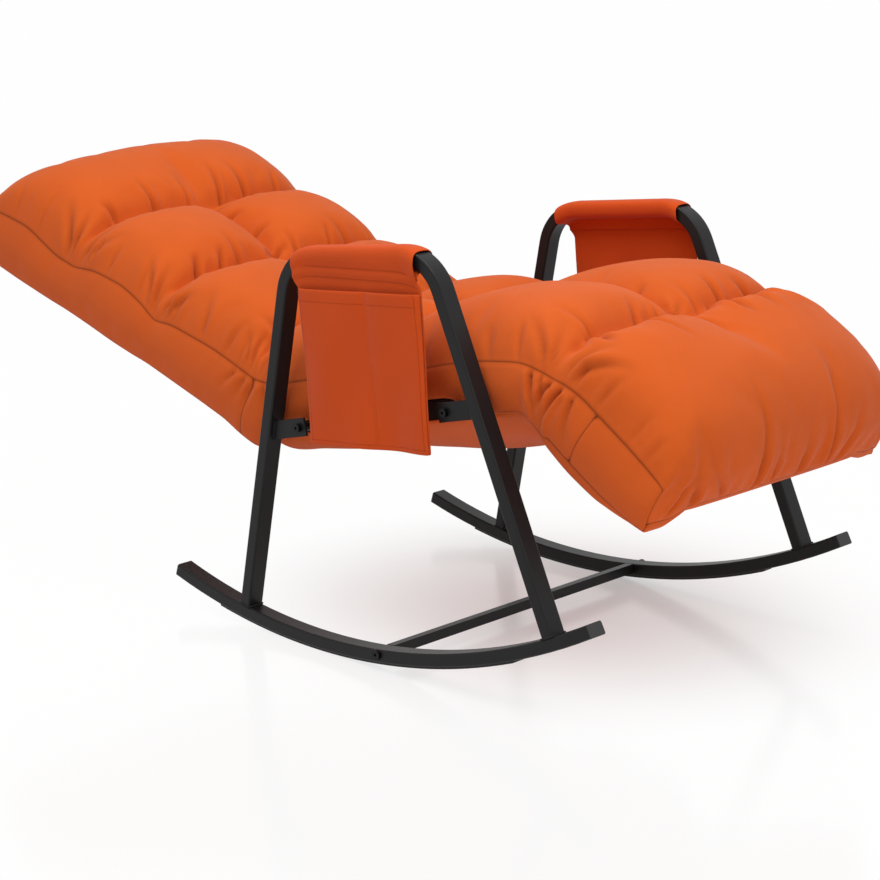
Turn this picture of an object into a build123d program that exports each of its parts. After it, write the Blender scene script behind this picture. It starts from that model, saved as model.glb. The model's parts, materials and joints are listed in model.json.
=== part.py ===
from build123d import *
import os
from math import asin, cos, degrees, radians, sin, tan

# Outdoor rocking chair with a reclining back and a folding footrest, in millimetres.
# The chair is drawn upright with the middle of the rockers at y = 0 and the floor at z = 0.
# The front faces -Y, the sitter's right is -X. At the end it is rocked back into its resting pose.

# Resting pose
ROCK_BACK = 7.3

# Side frames of rectangular tube
FRAME_WIDTH = 620.0
TUBE_WIDE = 30.0
TUBE_DEEP = 20.0
TUBE_WALL = 1.5
TUBE_CORNER = 3.0
ROCKER_RADIUS = 1120.0
ROCKER_FRONT = -420.0
ROCKER_REAR = 444.0
HOOP_CENTRE = -28.5
ARM_HALF = 142.4
ARM_HEIGHT = 607.0
LEG_LEAN = 17.6
BEND_RADIUS = 75.0
WELD_GAP = 0.1

# Plastic caps and rubber strips on the rockers
CAP_FLANGE = 2.0
CAP_PLUG = 12.0
CAP_CLEARANCE = 0.3
STRIP_THICK = 3.0
STRIP_WIDE = 24.0
STRIP_FRONT = -268.0
STRIP_REAR = 346.0

# Cross bar between the rockers, with its threaded inserts
BAR_SIZE = 15.0
BAR_RAISE = 2.5
INSERT_LENGTH = 18.0
INSERT_CLEARANCE = 0.2

# Bolts and nuts
BOLT_DIAMETER = 8.0
BOLT_CLEARANCE = 0.4
THREAD_CLEARANCE = 0.1
BAR_HEAD_DIAMETER = 16.0
BAR_HEAD_HEIGHT = 4.0
SEAT_HEAD_DIAMETER = 13.0
SEAT_HEAD_HEIGHT = 6.0
SOCKET_SIZE = 5.0
SOCKET_DEPTH = 2.5
NUT_SIZE = 13.0
NUT_HEIGHT = 6.5
BOLT_TAIL = 2.0

# Seat frame, hung between four tabs
SEAT_RAKE = 6.7
SEAT_HEIGHT = 366.6
RAIL_INSET = 60.0
RAIL_WIDE = 20.0
RAIL_TALL = 30.0
TAB_REACH = 55.0
TAB_TALL = 28.0
TAB_THICK = 4.0
TAB_SETBACK = 10.0
SPACER_DIAMETER = 16.0
SEAT_BAR_SIZE = 20.0
BAR_BEHIND_BOLT = 32.0
BAR_AHEAD_OF_BOLT = 54.0
SEAT_BAR_DROP = 3.0

# Webbing straps under the pads
STRAP_THICK = 1.5
STRAP_WIDE = 40.0
SEAT_STRAPS = 6
BACK_STRAPS = 7
FOOT_STRAPS = 2
STRAP_MARGIN = 60.0

# Hinges of the back and of the footrest
BACK_PIVOT = 278.0
BACK_ANGLE = 25.0
BACK_PITCH = 9.0
FOOT_PIVOT = -338.0
FOOT_ANGLE = 42.6
FOOT_PITCH = 12.0
NOTCHES = 7
SECTOR_RADIUS = 18.0
SECTOR_THICK = 5.0
SECTOR_TAIL = 40.0
CHEEK_RADIUS = 20.0
CHEEK_THICK = 2.5
CHEEK_LENGTH = 80.0
CHEEK_TALL = 26.0
HINGE_CLEARANCE = 2.0
RIVET_DIAMETER = 10.0
RIVET_HEAD = 16.0
RIVET_HEAD_HEIGHT = 2.0
RIVET_CLEARANCE = 0.2
NOTCH_WIDE = 2.0
NOTCH_DEEP = 2.6
TOOTH_WIDE = 1.4
TOOTH_ENGAGED = 2.0
PLUNGER_LENGTH = 24.0
PLUNGER_CLEARANCE = 0.3
LATCH_SPRING_LENGTH = 22.0
LATCH_SPRING_OUTER = 12.0
LATCH_SPRING_INNER = 9.0
LATCH_SPRING_GAP = 0.2
STOP_LENGTH = 8.0
STOP_CLEARANCE = 0.1

# Frames inside the back and the footrest, of square tube
PANEL_TUBE = 20.0
BACK_FRAME_LENGTH = 676.0
BACK_BAR_PLACE = 235.0
FOOT_FRAME_LENGTH = 196.0
TAIL_CLEARANCE = 0.5

# Pads, one row after another, of two crowned columns or of one
PAD_INSET = 44.0
PAD_BULGE = 4.0
PAD_PINCH = 5.0
PAD_WALL = 8.0
PAD_FLOOR = 2.5
PAD_GAP = 0.5
COLUMN_DIP = 36.0
SHOULDER_WIDE = 0.9
SHOULDER_TALL = 0.62
SHOULDER_PLACE = 0.3
SHOULDER_RISE = 0.75
SEAT_SEAM = 57.0
SEAT_CROWN = 162.0
SEAT_VALLEY = 120.0
SEAT_VALLEY_PLACE = 10.0
SEAT_CREST = 0.6
SEAT_PAD_REAR = 258.0
BACK_SEAM = 70.0
BACK_CROWN = 174.0
BACK_VALLEY = 132.0
LUMBAR_FOOT = 126.0
LUMBAR_VALLEY = 261.0
HEAD_VALLEY = 471.0
BACK_LENGTH = 716.0
HEAD_END = 76.0
HEAD_CREST = 0.45
LUMBAR_CREST = 0.55
FOOT_SEAM = 42.0
FOOT_CROWN = 138.0
FOOT_UNDER = 62.0
FOOT_UNDER_KNEE = 40.0
FOOT_UNDER_END = 14.0
FOOT_UNDERCUT = 16.0
FOOT_LENGTH = 222.0
FOOT_END = 76.0
FOOT_CREST = 0.45
KNEE_WEDGE = 20.0
KNEE_UNDER = 5.0
KNEE_VALLEY = 88.0

# Cloth under the seat, sagging less at the rear
UNDER_CLOTH = 1.5
UNDER_SAG = 72.0
UNDER_REAR_SAG = 36.0
UNDER_REAR = 213.0
UNDER_FRONT = -272.0

# Arm covers with their pockets
SLEEVE_CLEARANCE = 0.8
SLEEVE_CLOTH = 2.0
SLEEVE_HALF = 126.0
PANEL_CLOTH = 2.0
PANEL_HALF = 124.0
PANEL_DROP = 281.0
POCKET_CLOTH = 1.6
POCKET_DEPTH = 8.0
POCKET_SIDE = 5.0
POCKET_TALL = 233.0
POCKET_FOOT_DEPTH = 2.0
POCKET_SPLIT = -18.0

# Values worked out from the driving sizes
SIDES = {"right": -1, "left": 1}
ARC_CENTRE = ROCKER_RADIUS + STRIP_THICK
FRAME_X = FRAME_WIDTH / 2 - TUBE_WIDE / 2
OUTER_X = FRAME_WIDTH / 2
INNER_X = FRAME_WIDTH / 2 - TUBE_WIDE
RAIL_X = FRAME_WIDTH / 2 - RAIL_INSET
RAIL_OUT = RAIL_X + RAIL_WIDE / 2
RAIL_IN = RAIL_X - RAIL_WIDE / 2
TAB_OUT = OUTER_X - TAB_SETBACK
TAB_IN = TAB_OUT - TAB_THICK
HINGE_GAP = CHEEK_RADIUS + HINGE_CLEARANCE
PAD_HALF = FRAME_WIDTH / 2 - PAD_INSET
PAD_BASE = RAIL_TALL / 2 + STRAP_THICK + PAD_GAP
PANEL_BASE = PANEL_TUBE / 2 + PAD_GAP
CHANNEL_TOP = PANEL_TUBE / 2 + STRAP_THICK + PAD_GAP
BOLT_HOLE = BOLT_DIAMETER + BOLT_CLEARANCE

nodes = {}


def rail_z(y):
    """Height of the seat rails' axis."""
    return SEAT_HEIGHT - (y - HOOP_CENTRE) * tan(radians(SEAT_RAKE))


def slope(pivot_y, lift):
    """Frame of a panel hinged on the rails' axis: its pivot and the slope of its front direction."""
    return (pivot_y, rail_z(pivot_y), lift)


SEAT = slope(HOOP_CENTRE, SEAT_RAKE)
BACK = slope(BACK_PIVOT, -BACK_ANGLE)
FOOT = slope(FOOT_PIVOT, -FOOT_ANGLE)


def across(frame, s):
    """Plane square to a panel at the distance s in front of its pivot: local X across, local Y up from it."""
    y, z, lift = frame
    front = Vector(0, -cos(radians(lift)), sin(radians(lift)))
    return Plane(origin=Vector(0, y, z) + front * s, x_dir=(1, 0, 0), z_dir=front)


def block(frame, x, s, n):
    """Box in a panel's frame between two values across, along and up."""
    flat = Pos((x[0] + x[1]) / 2, (n[0] + n[1]) / 2) * Rectangle(x[1] - x[0], n[1] - n[0])
    return extrude(across(frame, s[0]) * flat, s[1] - s[0])


def rod(x0, x1, y, z, diameter):
    """Round bar along X."""
    return Plane(origin=(x0, y, z), z_dir=(1, 0, 0)) * extrude(Circle(diameter / 2), x1 - x0)


def prism(x0, x1, outline):
    """Flat plate with an outline drawn in Y and Z."""
    return Pos(x0, 0, 0) * extrude(Plane.YZ * outline, x1 - x0)


def mirrored(sign, shape):
    """The right-hand shape, or its mirror image on the left."""
    return shape if sign < 0 else mirror(shape, about=Plane.YZ)


def group(shapes):
    """Separate solids that share one node."""
    solids = [solid for shape in shapes for solid in shape.solids()]
    return Compound(solids)


def both(shape):
    """A right-hand piece and its mirror image as one group."""
    return group([mirrored(sign, shape) for sign in SIDES.values()])


def tube_section(wide, deep, corner, wall):
    """Rectangular tube section with rounded corners."""
    hollow = RectangleRounded(wide - 2 * wall, deep - 2 * wall, max(corner - wall, 0.5))
    return RectangleRounded(wide, deep, corner) - hollow


def swept(path, section):
    """Section swept along a path, with its local X kept along the chair's X."""
    start = Plane(origin=path @ 0, x_dir=(1, 0, 0), z_dir=path % 0)
    return sweep(start * section, path=path)


def square_tube(frame, x, s, n, size, tall):
    """Square tube along a panel's frame, hollow."""
    solid = block(frame, (x - size / 2, x + size / 2), s, (n - tall / 2, n + tall / 2))
    inner = (size / 2 - TUBE_WALL, tall / 2 - TUBE_WALL)
    return solid - block(frame, (x - inner[0], x + inner[0]), s, (n - inner[1], n + inner[1]))


def cross_tube(frame, half, s, n, size):
    """Square tube across the chair, hollow."""
    solid = block(frame, (-half, half), (s - size / 2, s + size / 2), (n - size / 2, n + size / 2))
    inner = size / 2 - TUBE_WALL
    return solid - block(frame, (-half, half), (s - inner, s + inner), (n - inner, n + inner))


# Side frames
def hoop_path():
    """Axis of the bent tube that makes the rear leg, the arm and the front leg."""
    spread = ARM_HALF + ARM_HEIGHT * tan(radians(LEG_LEAN))
    corners = [(spread, 0), (ARM_HALF, ARM_HEIGHT), (-ARM_HALF, ARM_HEIGHT), (-spread, 0)]
    return Plane.YZ * Pos(HOOP_CENTRE, 0) * FilletPolyline(*corners, radius=BEND_RADIUS)


def rocker_path():
    """Axis of the curved rocker tube."""
    front, rear = [degrees(asin(y / ROCKER_RADIUS)) for y in (ROCKER_FRONT, ROCKER_REAR)]
    return Plane.YZ * CenterArc((0, ARC_CENTRE), ROCKER_RADIUS - TUBE_DEEP / 2, -90 + front, rear - front)


def leg_face(side):
    """Where the rails' axis meets the inner face of the rear (+1) or front (-1) leg."""
    lean = tan(radians(LEG_LEAN))
    rake = tan(radians(SEAT_RAKE))
    inset = TUBE_DEEP / 2 / cos(radians(LEG_LEAN))
    rise = ARM_HEIGHT - SEAT_HEIGHT
    reach = (ARM_HALF + lean * rise - inset) / (1 - side * lean * rake)
    return HOOP_CENTRE + side * reach


TAB_BOLTS = [leg_face(side) - side * TAB_REACH for side in (1, -1)]
BAR_Z = STRIP_THICK + TUBE_DEEP / 2 + BAR_RAISE
HOOP_CORE = swept(hoop_path(), RectangleRounded(TUBE_WIDE, TUBE_DEEP, TUBE_CORNER))
tube = tube_section(TUBE_WIDE, TUBE_DEEP, TUBE_CORNER, TUBE_WALL)
rocker_top = ROCKER_RADIUS - TUBE_DEEP - WELD_GAP
above_rocker = rod(-TUBE_WIDE, TUBE_WIDE, 0, ARC_CENTRE, 2 * rocker_top)
hoop = swept(hoop_path(), tube) & above_rocker
rocker = swept(rocker_path(), tube) - rod(-TUBE_WIDE, TUBE_WIDE, 0, BAR_Z, BOLT_HOLE)

strip_ends = [degrees(asin(y / ROCKER_RADIUS)) for y in (STRIP_FRONT, STRIP_REAR)]
strip_radius = ROCKER_RADIUS + STRIP_THICK / 2
strip_turn = strip_ends[1] - strip_ends[0]
strip_path = Plane.YZ * CenterArc((0, ARC_CENTRE), strip_radius, -90 + strip_ends[0], strip_turn)
strip = swept(strip_path, Rectangle(STRIP_WIDE, STRIP_THICK))

for name, sign in SIDES.items():
    nodes[f"arm_hoop_{name}"] = Pos(sign * FRAME_X, 0, 0) * hoop
    nodes[f"rocker_{name}"] = Pos(sign * FRAME_X, 0, 0) * rocker
    nodes[f"anti_slip_strip_{name}"] = Pos(sign * FRAME_X, 0, 0) * strip


# Rocker end caps and cross bar
def end_cap(at):
    """Plastic cap on one end of a rocker, with its plug inside the tube."""
    path = rocker_path()
    out = path % at * (1 if at else -1)
    face = Plane(origin=path @ at, x_dir=(1, 0, 0), z_dir=out)
    less = 2 * (TUBE_WALL + CAP_CLEARANCE)
    flange = extrude(RectangleRounded(TUBE_WIDE, TUBE_DEEP, TUBE_CORNER), CAP_FLANGE)
    plug = extrude(RectangleRounded(TUBE_WIDE - less, TUBE_DEEP - less, TUBE_CORNER), -CAP_PLUG)
    return face * (flange + plug)


caps = [Pos(sign * FRAME_X, 0, 0) * end_cap(at) for sign in (-1, 1) for at in (0, 1)]
nodes["rocker_end_caps"] = group(caps)

BAR = (0, BAR_Z, 0)
bar_half = INNER_X - WELD_GAP
nodes["cross_bar"] = cross_tube(BAR, bar_half, 0, 0, BAR_SIZE)
insert_half = BAR_SIZE / 2 - TUBE_WALL - INSERT_CLEARANCE
insert_span = (-insert_half, insert_half)
insert = block(BAR, (-bar_half, INSERT_LENGTH - bar_half), insert_span, insert_span)
insert -= rod(-INNER_X, -INNER_X + 2 * INSERT_LENGTH, 0, BAR_Z, BOLT_DIAMETER + THREAD_CLEARANCE)
nodes["cross_bar_inserts"] = both(insert)


def bolt(x_head, x_tip, y, z, head, height):
    """Round-headed bolt along X with a hexagon socket, its head on the right-hand side."""
    shape = rod(x_head, x_tip, y, z, BOLT_DIAMETER) + rod(x_head - height, x_head, y, z, head)
    socket = extrude(RegularPolygon(SOCKET_SIZE / 2, 6), SOCKET_DEPTH)
    return shape - Plane(origin=(x_head - height, y, z), z_dir=(1, 0, 0)) * socket


bar_bolt = bolt(-OUTER_X, INSERT_LENGTH - INNER_X, 0, BAR_Z, BAR_HEAD_DIAMETER, BAR_HEAD_HEIGHT)
nodes["cross_bar_bolts"] = both(bar_bolt)


# Seat frame
def seat_s(y):
    """Distance along the rails, in front of the middle of the hoop, of a point with this y."""
    return (HOOP_CENTRE - y) / cos(radians(SEAT_RAKE))


tabs = []
spacers = []
bolts = []
nuts = []
bolt_tip = BOLT_TAIL + NUT_HEIGHT - RAIL_IN
for side, y in zip((1, -1), TAB_BOLTS):
    z = rail_z(y)
    s = seat_s(y)
    stretch = sorted((s + side * TAB_TALL / 2, s - side * (TAB_REACH + TUBE_DEEP / 2)))
    plate = block(SEAT, (-TAB_OUT, -TAB_IN), stretch, (-TAB_TALL / 2, TAB_TALL / 2))
    plate -= Pos(-FRAME_X, 0, 0) * HOOP_CORE
    tabs.append(plate - rod(-TAB_OUT, -TAB_IN, y, z, BOLT_HOLE))
    sleeve = rod(-TAB_IN, -RAIL_OUT, y, z, SPACER_DIAMETER)
    spacers.append(sleeve - rod(-TAB_IN, -RAIL_OUT, y, z, BOLT_HOLE))
    bolts.append(bolt(-TAB_OUT, bolt_tip, y, z, SEAT_HEAD_DIAMETER, SEAT_HEAD_HEIGHT))
    hexagon = extrude(RegularPolygon(NUT_SIZE / 2, 6, major_radius=False), NUT_HEIGHT)
    nut = Plane(origin=(-RAIL_IN, y, z), z_dir=(1, 0, 0)) * hexagon
    nuts.append(nut - rod(-RAIL_IN, bolt_tip, y, z, BOLT_DIAMETER + THREAD_CLEARANCE))
fastenings = {"seat_tabs": tabs, "seat_spacers": spacers, "seat_bolts": bolts, "seat_nuts": nuts}
for name, pieces in fastenings.items():
    nodes[name] = group([mirrored(sign, piece) for sign in (-1, 1) for piece in pieces])

RAIL_ENDS = (seat_s(BACK_PIVOT) + HINGE_GAP, seat_s(FOOT_PIVOT) - HINGE_GAP)
rail = square_tube(SEAT, -RAIL_X, RAIL_ENDS, 0, RAIL_WIDE, RAIL_TALL)
for y in TAB_BOLTS:
    rail -= rod(-RAIL_OUT, -RAIL_IN, y, rail_z(y), BOLT_HOLE)
for name, sign in SIDES.items():
    nodes[f"seat_rail_{name}"] = mirrored(sign, rail)
seat_bars = {"rear": TAB_BOLTS[0] + BAR_BEHIND_BOLT, "front": TAB_BOLTS[1] - BAR_AHEAD_OF_BOLT}
for name, y in seat_bars.items():
    half = RAIL_IN - WELD_GAP
    nodes[f"seat_cross_tube_{name}"] = cross_tube(SEAT, half, seat_s(y), -SEAT_BAR_DROP, SEAT_BAR_SIZE)


def straps(frame, first, last, count, base):
    """Evenly spaced webbing straps that lie on both side tubes of a panel."""
    step = (last - first) / max(count - 1, 1)
    places = [first + index * step for index in range(count)]
    wide = STRAP_WIDE / 2
    across_rails = (-RAIL_OUT, RAIL_OUT)
    up = (base, base + STRAP_THICK)
    return group([block(frame, across_rails, (s - wide, s + wide), up) for s in places])


strap_ends = (RAIL_ENDS[0] + STRAP_MARGIN, RAIL_ENDS[1] - STRAP_MARGIN)
nodes["seat_webbing"] = straps(SEAT, *strap_ends, SEAT_STRAPS, RAIL_TALL / 2)


def under_section(y, sag):
    """Outline of the sagging cloth across the chair, under the rails."""
    top = -RAIL_TALL / 2 - PAD_GAP
    edge = top - UNDER_CLOTH
    outline = [
        ThreePointArc((-RAIL_OUT, top), (0, top - sag), (RAIL_OUT, top)),
        Line((RAIL_OUT, top), (RAIL_OUT, edge)),
        ThreePointArc((RAIL_OUT, edge), (0, edge - sag), (-RAIL_OUT, edge)),
        Line((-RAIL_OUT, edge), (-RAIL_OUT, top)),
    ]
    return across(SEAT, seat_s(y)) * make_face(outline)


nodes["seat_under_cloth"] = loft([under_section(UNDER_REAR, UNDER_REAR_SAG), under_section(UNDER_FRONT, UNDER_SAG)])


# Ratchet hinges: cheek plates on the rail, a notched sector on the panel and a sprung latch in the rail
def hinge(label, frame, rail_side, tail_side, pitch, first_notch):
    """Pieces of one hinge pair. rail_side and tail_side are +1 in front of the pivot, -1 behind it."""
    y, z, lift = frame
    rail_frame = (y, z, SEAT_RAKE)

    def along(side, near, far):
        return tuple(sorted((side * near, side * far)))

    disc = rod(-RAIL_X - SECTOR_THICK / 2, SECTOR_THICK / 2 - RAIL_X, y, z, 2 * SECTOR_RADIUS)
    tail_half = PANEL_TUBE / 2 - TUBE_WALL - TAIL_CLEARANCE
    thick = (-RAIL_X - SECTOR_THICK / 2, SECTOR_THICK / 2 - RAIL_X)
    sector = disc + block(frame, thick, along(tail_side, 0, HINGE_GAP + SECTOR_TAIL), (-tail_half, tail_half))
    for index in range(NOTCHES):
        turned = (y, z, SEAT_RAKE + (first_notch + index) * pitch)
        depth = along(rail_side, SECTOR_RADIUS - NOTCH_DEEP, SECTOR_RADIUS + NOTCH_DEEP)
        sector -= block(turned, thick, depth, (-NOTCH_WIDE / 2, NOTCH_WIDE / 2))
    bore = RIVET_DIAMETER + RIVET_CLEARANCE
    sector -= rod(-RAIL_OUT, -RAIL_IN, y, z, bore)
    nodes[f"{label}_sectors"] = both(sector)

    cheeks = []
    for x in (-RAIL_OUT - CHEEK_THICK, -RAIL_IN):
        plate = rod(x, x + CHEEK_THICK, y, z, 2 * CHEEK_RADIUS)
        reach = along(rail_side, 0, CHEEK_LENGTH)
        arm = block(rail_frame, (x, x + CHEEK_THICK), reach, (-CHEEK_TALL / 2, CHEEK_TALL / 2))
        cheeks.append(plate + arm - rod(x, x + CHEEK_THICK, y, z, bore))
    nodes[f"{label}_cheeks"] = group([mirrored(sign, cheek) for sign in (-1, 1) for cheek in cheeks])

    ends = (-RAIL_OUT - CHEEK_THICK, CHEEK_THICK - RAIL_IN)
    rivet = rod(ends[0], ends[1], y, z, RIVET_DIAMETER)
    rivet += rod(ends[0] - RIVET_HEAD_HEIGHT, ends[0], y, z, RIVET_HEAD)
    rivet += rod(ends[1], ends[1] + RIVET_HEAD_HEIGHT, y, z, RIVET_HEAD)
    nodes[f"{label}_rivets"] = both(rivet)

    half = (RAIL_WIDE / 2 - TUBE_WALL - PLUNGER_CLEARANCE, RAIL_TALL / 2 - TUBE_WALL - PLUNGER_CLEARANCE)
    body_x = (-RAIL_X - half[0], half[0] - RAIL_X)
    plunger_end = HINGE_GAP + PLUNGER_LENGTH
    plunger = block(rail_frame, body_x, along(rail_side, HINGE_GAP, plunger_end), (-half[1], half[1]))
    tooth = along(rail_side, SECTOR_RADIUS - TOOTH_ENGAGED, plunger_end)
    plunger += block(rail_frame, thick, tooth, (-TOOTH_WIDE / 2, TOOTH_WIDE / 2))
    nodes[f"{label}_latches"] = both(plunger)

    spring_start = plunger_end + LATCH_SPRING_GAP
    spring_end = spring_start + LATCH_SPRING_LENGTH
    ring = Circle(LATCH_SPRING_OUTER / 2) - Circle(LATCH_SPRING_INNER / 2)
    seat_plane = across(rail_frame, rail_side * spring_start)
    spring = extrude(seat_plane * (Pos(-RAIL_X, 0) * ring), rail_side * LATCH_SPRING_LENGTH)
    nodes[f"{label}_latch_springs"] = both(spring)

    fit = (RAIL_WIDE / 2 - TUBE_WALL - STOP_CLEARANCE, RAIL_TALL / 2 - TUBE_WALL - STOP_CLEARANCE)
    stop_start = spring_end + LATCH_SPRING_GAP
    stop_s = along(rail_side, stop_start, stop_start + STOP_LENGTH)
    stop = block(rail_frame, (-RAIL_X - fit[0], fit[0] - RAIL_X), stop_s, (-fit[1], fit[1]))
    nodes[f"{label}_latch_stops"] = both(stop)


hinge("recline", BACK, 1, -1, BACK_PITCH, 0)
hinge("footrest", FOOT, -1, 1, FOOT_PITCH, -(NOTCHES // 2))


# Frames of the back and of the footrest
def panel_frame(label, frame, side, length, bar):
    """Two side tubes, an end tube and, where given, a cross tube."""
    stretch = tuple(sorted((side * HINGE_GAP, side * length)))
    side_tube = square_tube(frame, -RAIL_X, stretch, 0, PANEL_TUBE, PANEL_TUBE)
    for name, sign in SIDES.items():
        nodes[f"{label}_side_tube_{name}"] = mirrored(sign, side_tube)
    places = {"end": length - PANEL_TUBE / 2}
    if bar:
        places["cross"] = bar
    for name, place in places.items():
        nodes[f"{label}_{name}_tube"] = cross_tube(frame, RAIL_IN - WELD_GAP, side * place, 0, PANEL_TUBE)


panel_frame("back", BACK, -1, BACK_FRAME_LENGTH, BACK_BAR_PLACE)
panel_frame("foot", FOOT, 1, FOOT_FRAME_LENGTH, None)
strap_base = PANEL_TUBE / 2
back_straps = (-HINGE_GAP - STRAP_MARGIN, STRAP_WIDE - BACK_FRAME_LENGTH)
nodes["back_webbing"] = straps(BACK, *back_straps, BACK_STRAPS, strap_base)
foot_straps = (HINGE_GAP + STRAP_MARGIN, FOOT_FRAME_LENGTH - STRAP_WIDE)
nodes["foot_webbing"] = straps(FOOT, *foot_straps, FOOT_STRAPS, strap_base)


# Pads
def two_columns(top):
    """Heights of a row over its columns and in the channel between them."""
    return (top, top - COLUMN_DIP)


def one_column(top):
    """Heights of a row, or of a sewn line, without a middle channel."""
    return (top, top)


def pad_section(frame, s, half, base, seam, tops, undercut):
    """Outline across a pad: flat base, swelling sides up to the seam and a top over its columns."""
    bulge = half + PAD_BULGE
    low = half - undercut
    mid = (base + seam) / 2
    crown, middle = tops
    shoulder = (SHOULDER_WIDE * half, seam + SHOULDER_TALL * (crown - seam))
    right = [(half, seam), shoulder, (half / 2, crown)]
    left = [(-x, height) for x, height in reversed(right)]
    outline = [
        Line((-low, base), (low, base)),
        ThreePointArc((low, base), (bulge, mid), (half, seam)),
        Spline(*right, (0, middle), *left),
        ThreePointArc((-half, seam), (-bulge, mid), (-low, base)),
    ]
    return across(frame, s) * make_face(outline)


def station(s, half, base, seam, tops):
    """One cross-section of a row."""
    return (s, half, base, seam, *tops)


def crowned_row(start, crest, end):
    """Stations of a row from one sewn line over its crest to the next, steep near the lines."""

    def shoulder(line):
        shares = [SHOULDER_PLACE] + [SHOULDER_RISE] * (len(line) - 1)
        return tuple(low + share * (high - low) for low, high, share in zip(line, crest, shares))

    return [start, shoulder(start), crest, shoulder(end), end]


def pillow(frame, stations, undercut, wall=0.0, floor=0.0):
    """One row of the pad lofted through its stations, or the hollow inside it."""
    ends = sorted((stations[0][0], stations[-1][0]))
    sections = []
    for s, half, base, seam, *tops in stations:
        place = min(max(s, ends[0] + wall), ends[1] - wall)
        inner = [top - wall for top in tops]
        sections.append(pad_section(frame, place, half - wall, base + floor, seam - wall / 2, inner, undercut))
    return loft(sections)


def filled_rows(frame, rows, undercut=0.0):
    """Rows of a pad joined at their sewn channels, with the loose filling's space left hollow."""
    outer = pillow(frame, rows[0], undercut)
    for stations in rows[1:]:
        outer += pillow(frame, stations, undercut)
    for stations in rows:
        outer -= pillow(frame, stations, undercut, PAD_WALL, PAD_FLOOR)
    return outer


def channel(frame, stretch):
    """Room in a pad for the panel's frame and its webbing."""
    room = RAIL_OUT + PAD_GAP
    return block(frame, (-room, room), tuple(sorted(stretch)), (-PANEL_BASE, CHANNEL_TOP))


PINCHED = PAD_HALF - PAD_PINCH
seat_base = PAD_BASE
seat_end = seat_s(FOOT_PIVOT)
valley_s = seat_s(SEAT_VALLEY_PLACE)
rear_s = seat_s(SEAT_PAD_REAR + PAD_WALL)
seat_crown = two_columns(SEAT_CROWN)
seat_valley = one_column(SEAT_VALLEY)
knee_tops = one_column(KNEE_VALLEY)
seat_crest = valley_s + (seat_end - valley_s) * SEAT_CREST
seat_line = station(valley_s, PINCHED, seat_base, SEAT_SEAM, seat_valley)
seat_rows = [
    crowned_row(
        station(rear_s, PINCHED, seat_base, SEAT_SEAM - PAD_PINCH, seat_valley),
        station((rear_s + valley_s) / 2, PAD_HALF, seat_base, SEAT_SEAM, seat_crown),
        seat_line,
    ),
    crowned_row(
        seat_line,
        station(seat_crest, PAD_HALF, seat_base, SEAT_SEAM, seat_crown),
        station(seat_end, PINCHED, seat_base, SEAT_SEAM - PAD_PINCH, knee_tops),
    ),
]


def half_space(y, z, turn, keep_front):
    """Large block on the front or the rear of a plane through a point, turned about X from the upright."""
    reach = 4 * PAD_HALF
    sign = -1 if keep_front else 1
    return Pos(0, y, z) * Rot(turn, 0, 0) * Pos(0, sign * reach / 2, 0) * Box(reach, reach, reach)


seat_front = half_space(FOOT[0], FOOT[1], -KNEE_WEDGE, False)
seat_rear = half_space(SEAT_PAD_REAR, rail_z(BACK_PIVOT), 0, True)
nodes["seat_pad"] = filled_rows(SEAT, seat_rows) & seat_front & seat_rear

back_base = -PANEL_BASE - PAD_FLOOR
row_crest = (LUMBAR_VALLEY + HEAD_VALLEY) / 2
head_crest = HEAD_VALLEY + (BACK_LENGTH - HEAD_VALLEY) * HEAD_CREST
back_crown = two_columns(BACK_CROWN)
back_valley = one_column(BACK_VALLEY)
head_line = station(-HEAD_VALLEY, PINCHED, back_base, BACK_SEAM, back_valley)
back_rows = [
    crowned_row(
        station(-LUMBAR_VALLEY, PINCHED, back_base, BACK_SEAM, back_valley),
        station(-row_crest, PAD_HALF, back_base, BACK_SEAM, back_crown),
        head_line,
    ),
    crowned_row(
        head_line,
        station(-head_crest, PAD_HALF, back_base, BACK_SEAM, one_column(BACK_CROWN)),
        station(-BACK_LENGTH, PINCHED, back_base, BACK_SEAM - PAD_PINCH, one_column(HEAD_END)),
    ),
]
back_room = channel(BACK, (-LUMBAR_VALLEY, -BACK_FRAME_LENGTH - PAD_GAP))
nodes["back_pad"] = filled_rows(BACK, back_rows) - back_room

lumbar_row = crowned_row(
    station(2 * CHEEK_RADIUS, PINCHED, back_base, BACK_SEAM, one_column(LUMBAR_FOOT)),
    station(-LUMBAR_VALLEY * LUMBAR_CREST, PAD_HALF, back_base, BACK_SEAM, back_crown),
    station(PAD_GAP - LUMBAR_VALLEY, PINCHED, back_base, BACK_SEAM, back_valley),
)
lumbar = filled_rows(BACK, [lumbar_row]) - channel(BACK, (0, -LUMBAR_VALLEY))
lumbar &= half_space(SEAT_PAD_REAR + PAD_GAP, rail_z(BACK_PIVOT), 0, False)
whole_width = (-2 * PAD_HALF, 2 * PAD_HALF)
hinge_room = rod(*whole_width, BACK[0], BACK[1], 2 * HINGE_GAP)
rail_frame = (BACK[0], BACK[1], SEAT_RAKE)
rail_room = block(rail_frame, whole_width, (0, CHEEK_LENGTH), (-CHEEK_LENGTH, PAD_BASE))
nodes["lumbar_pad"] = lumbar - hinge_room - rail_room

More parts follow.
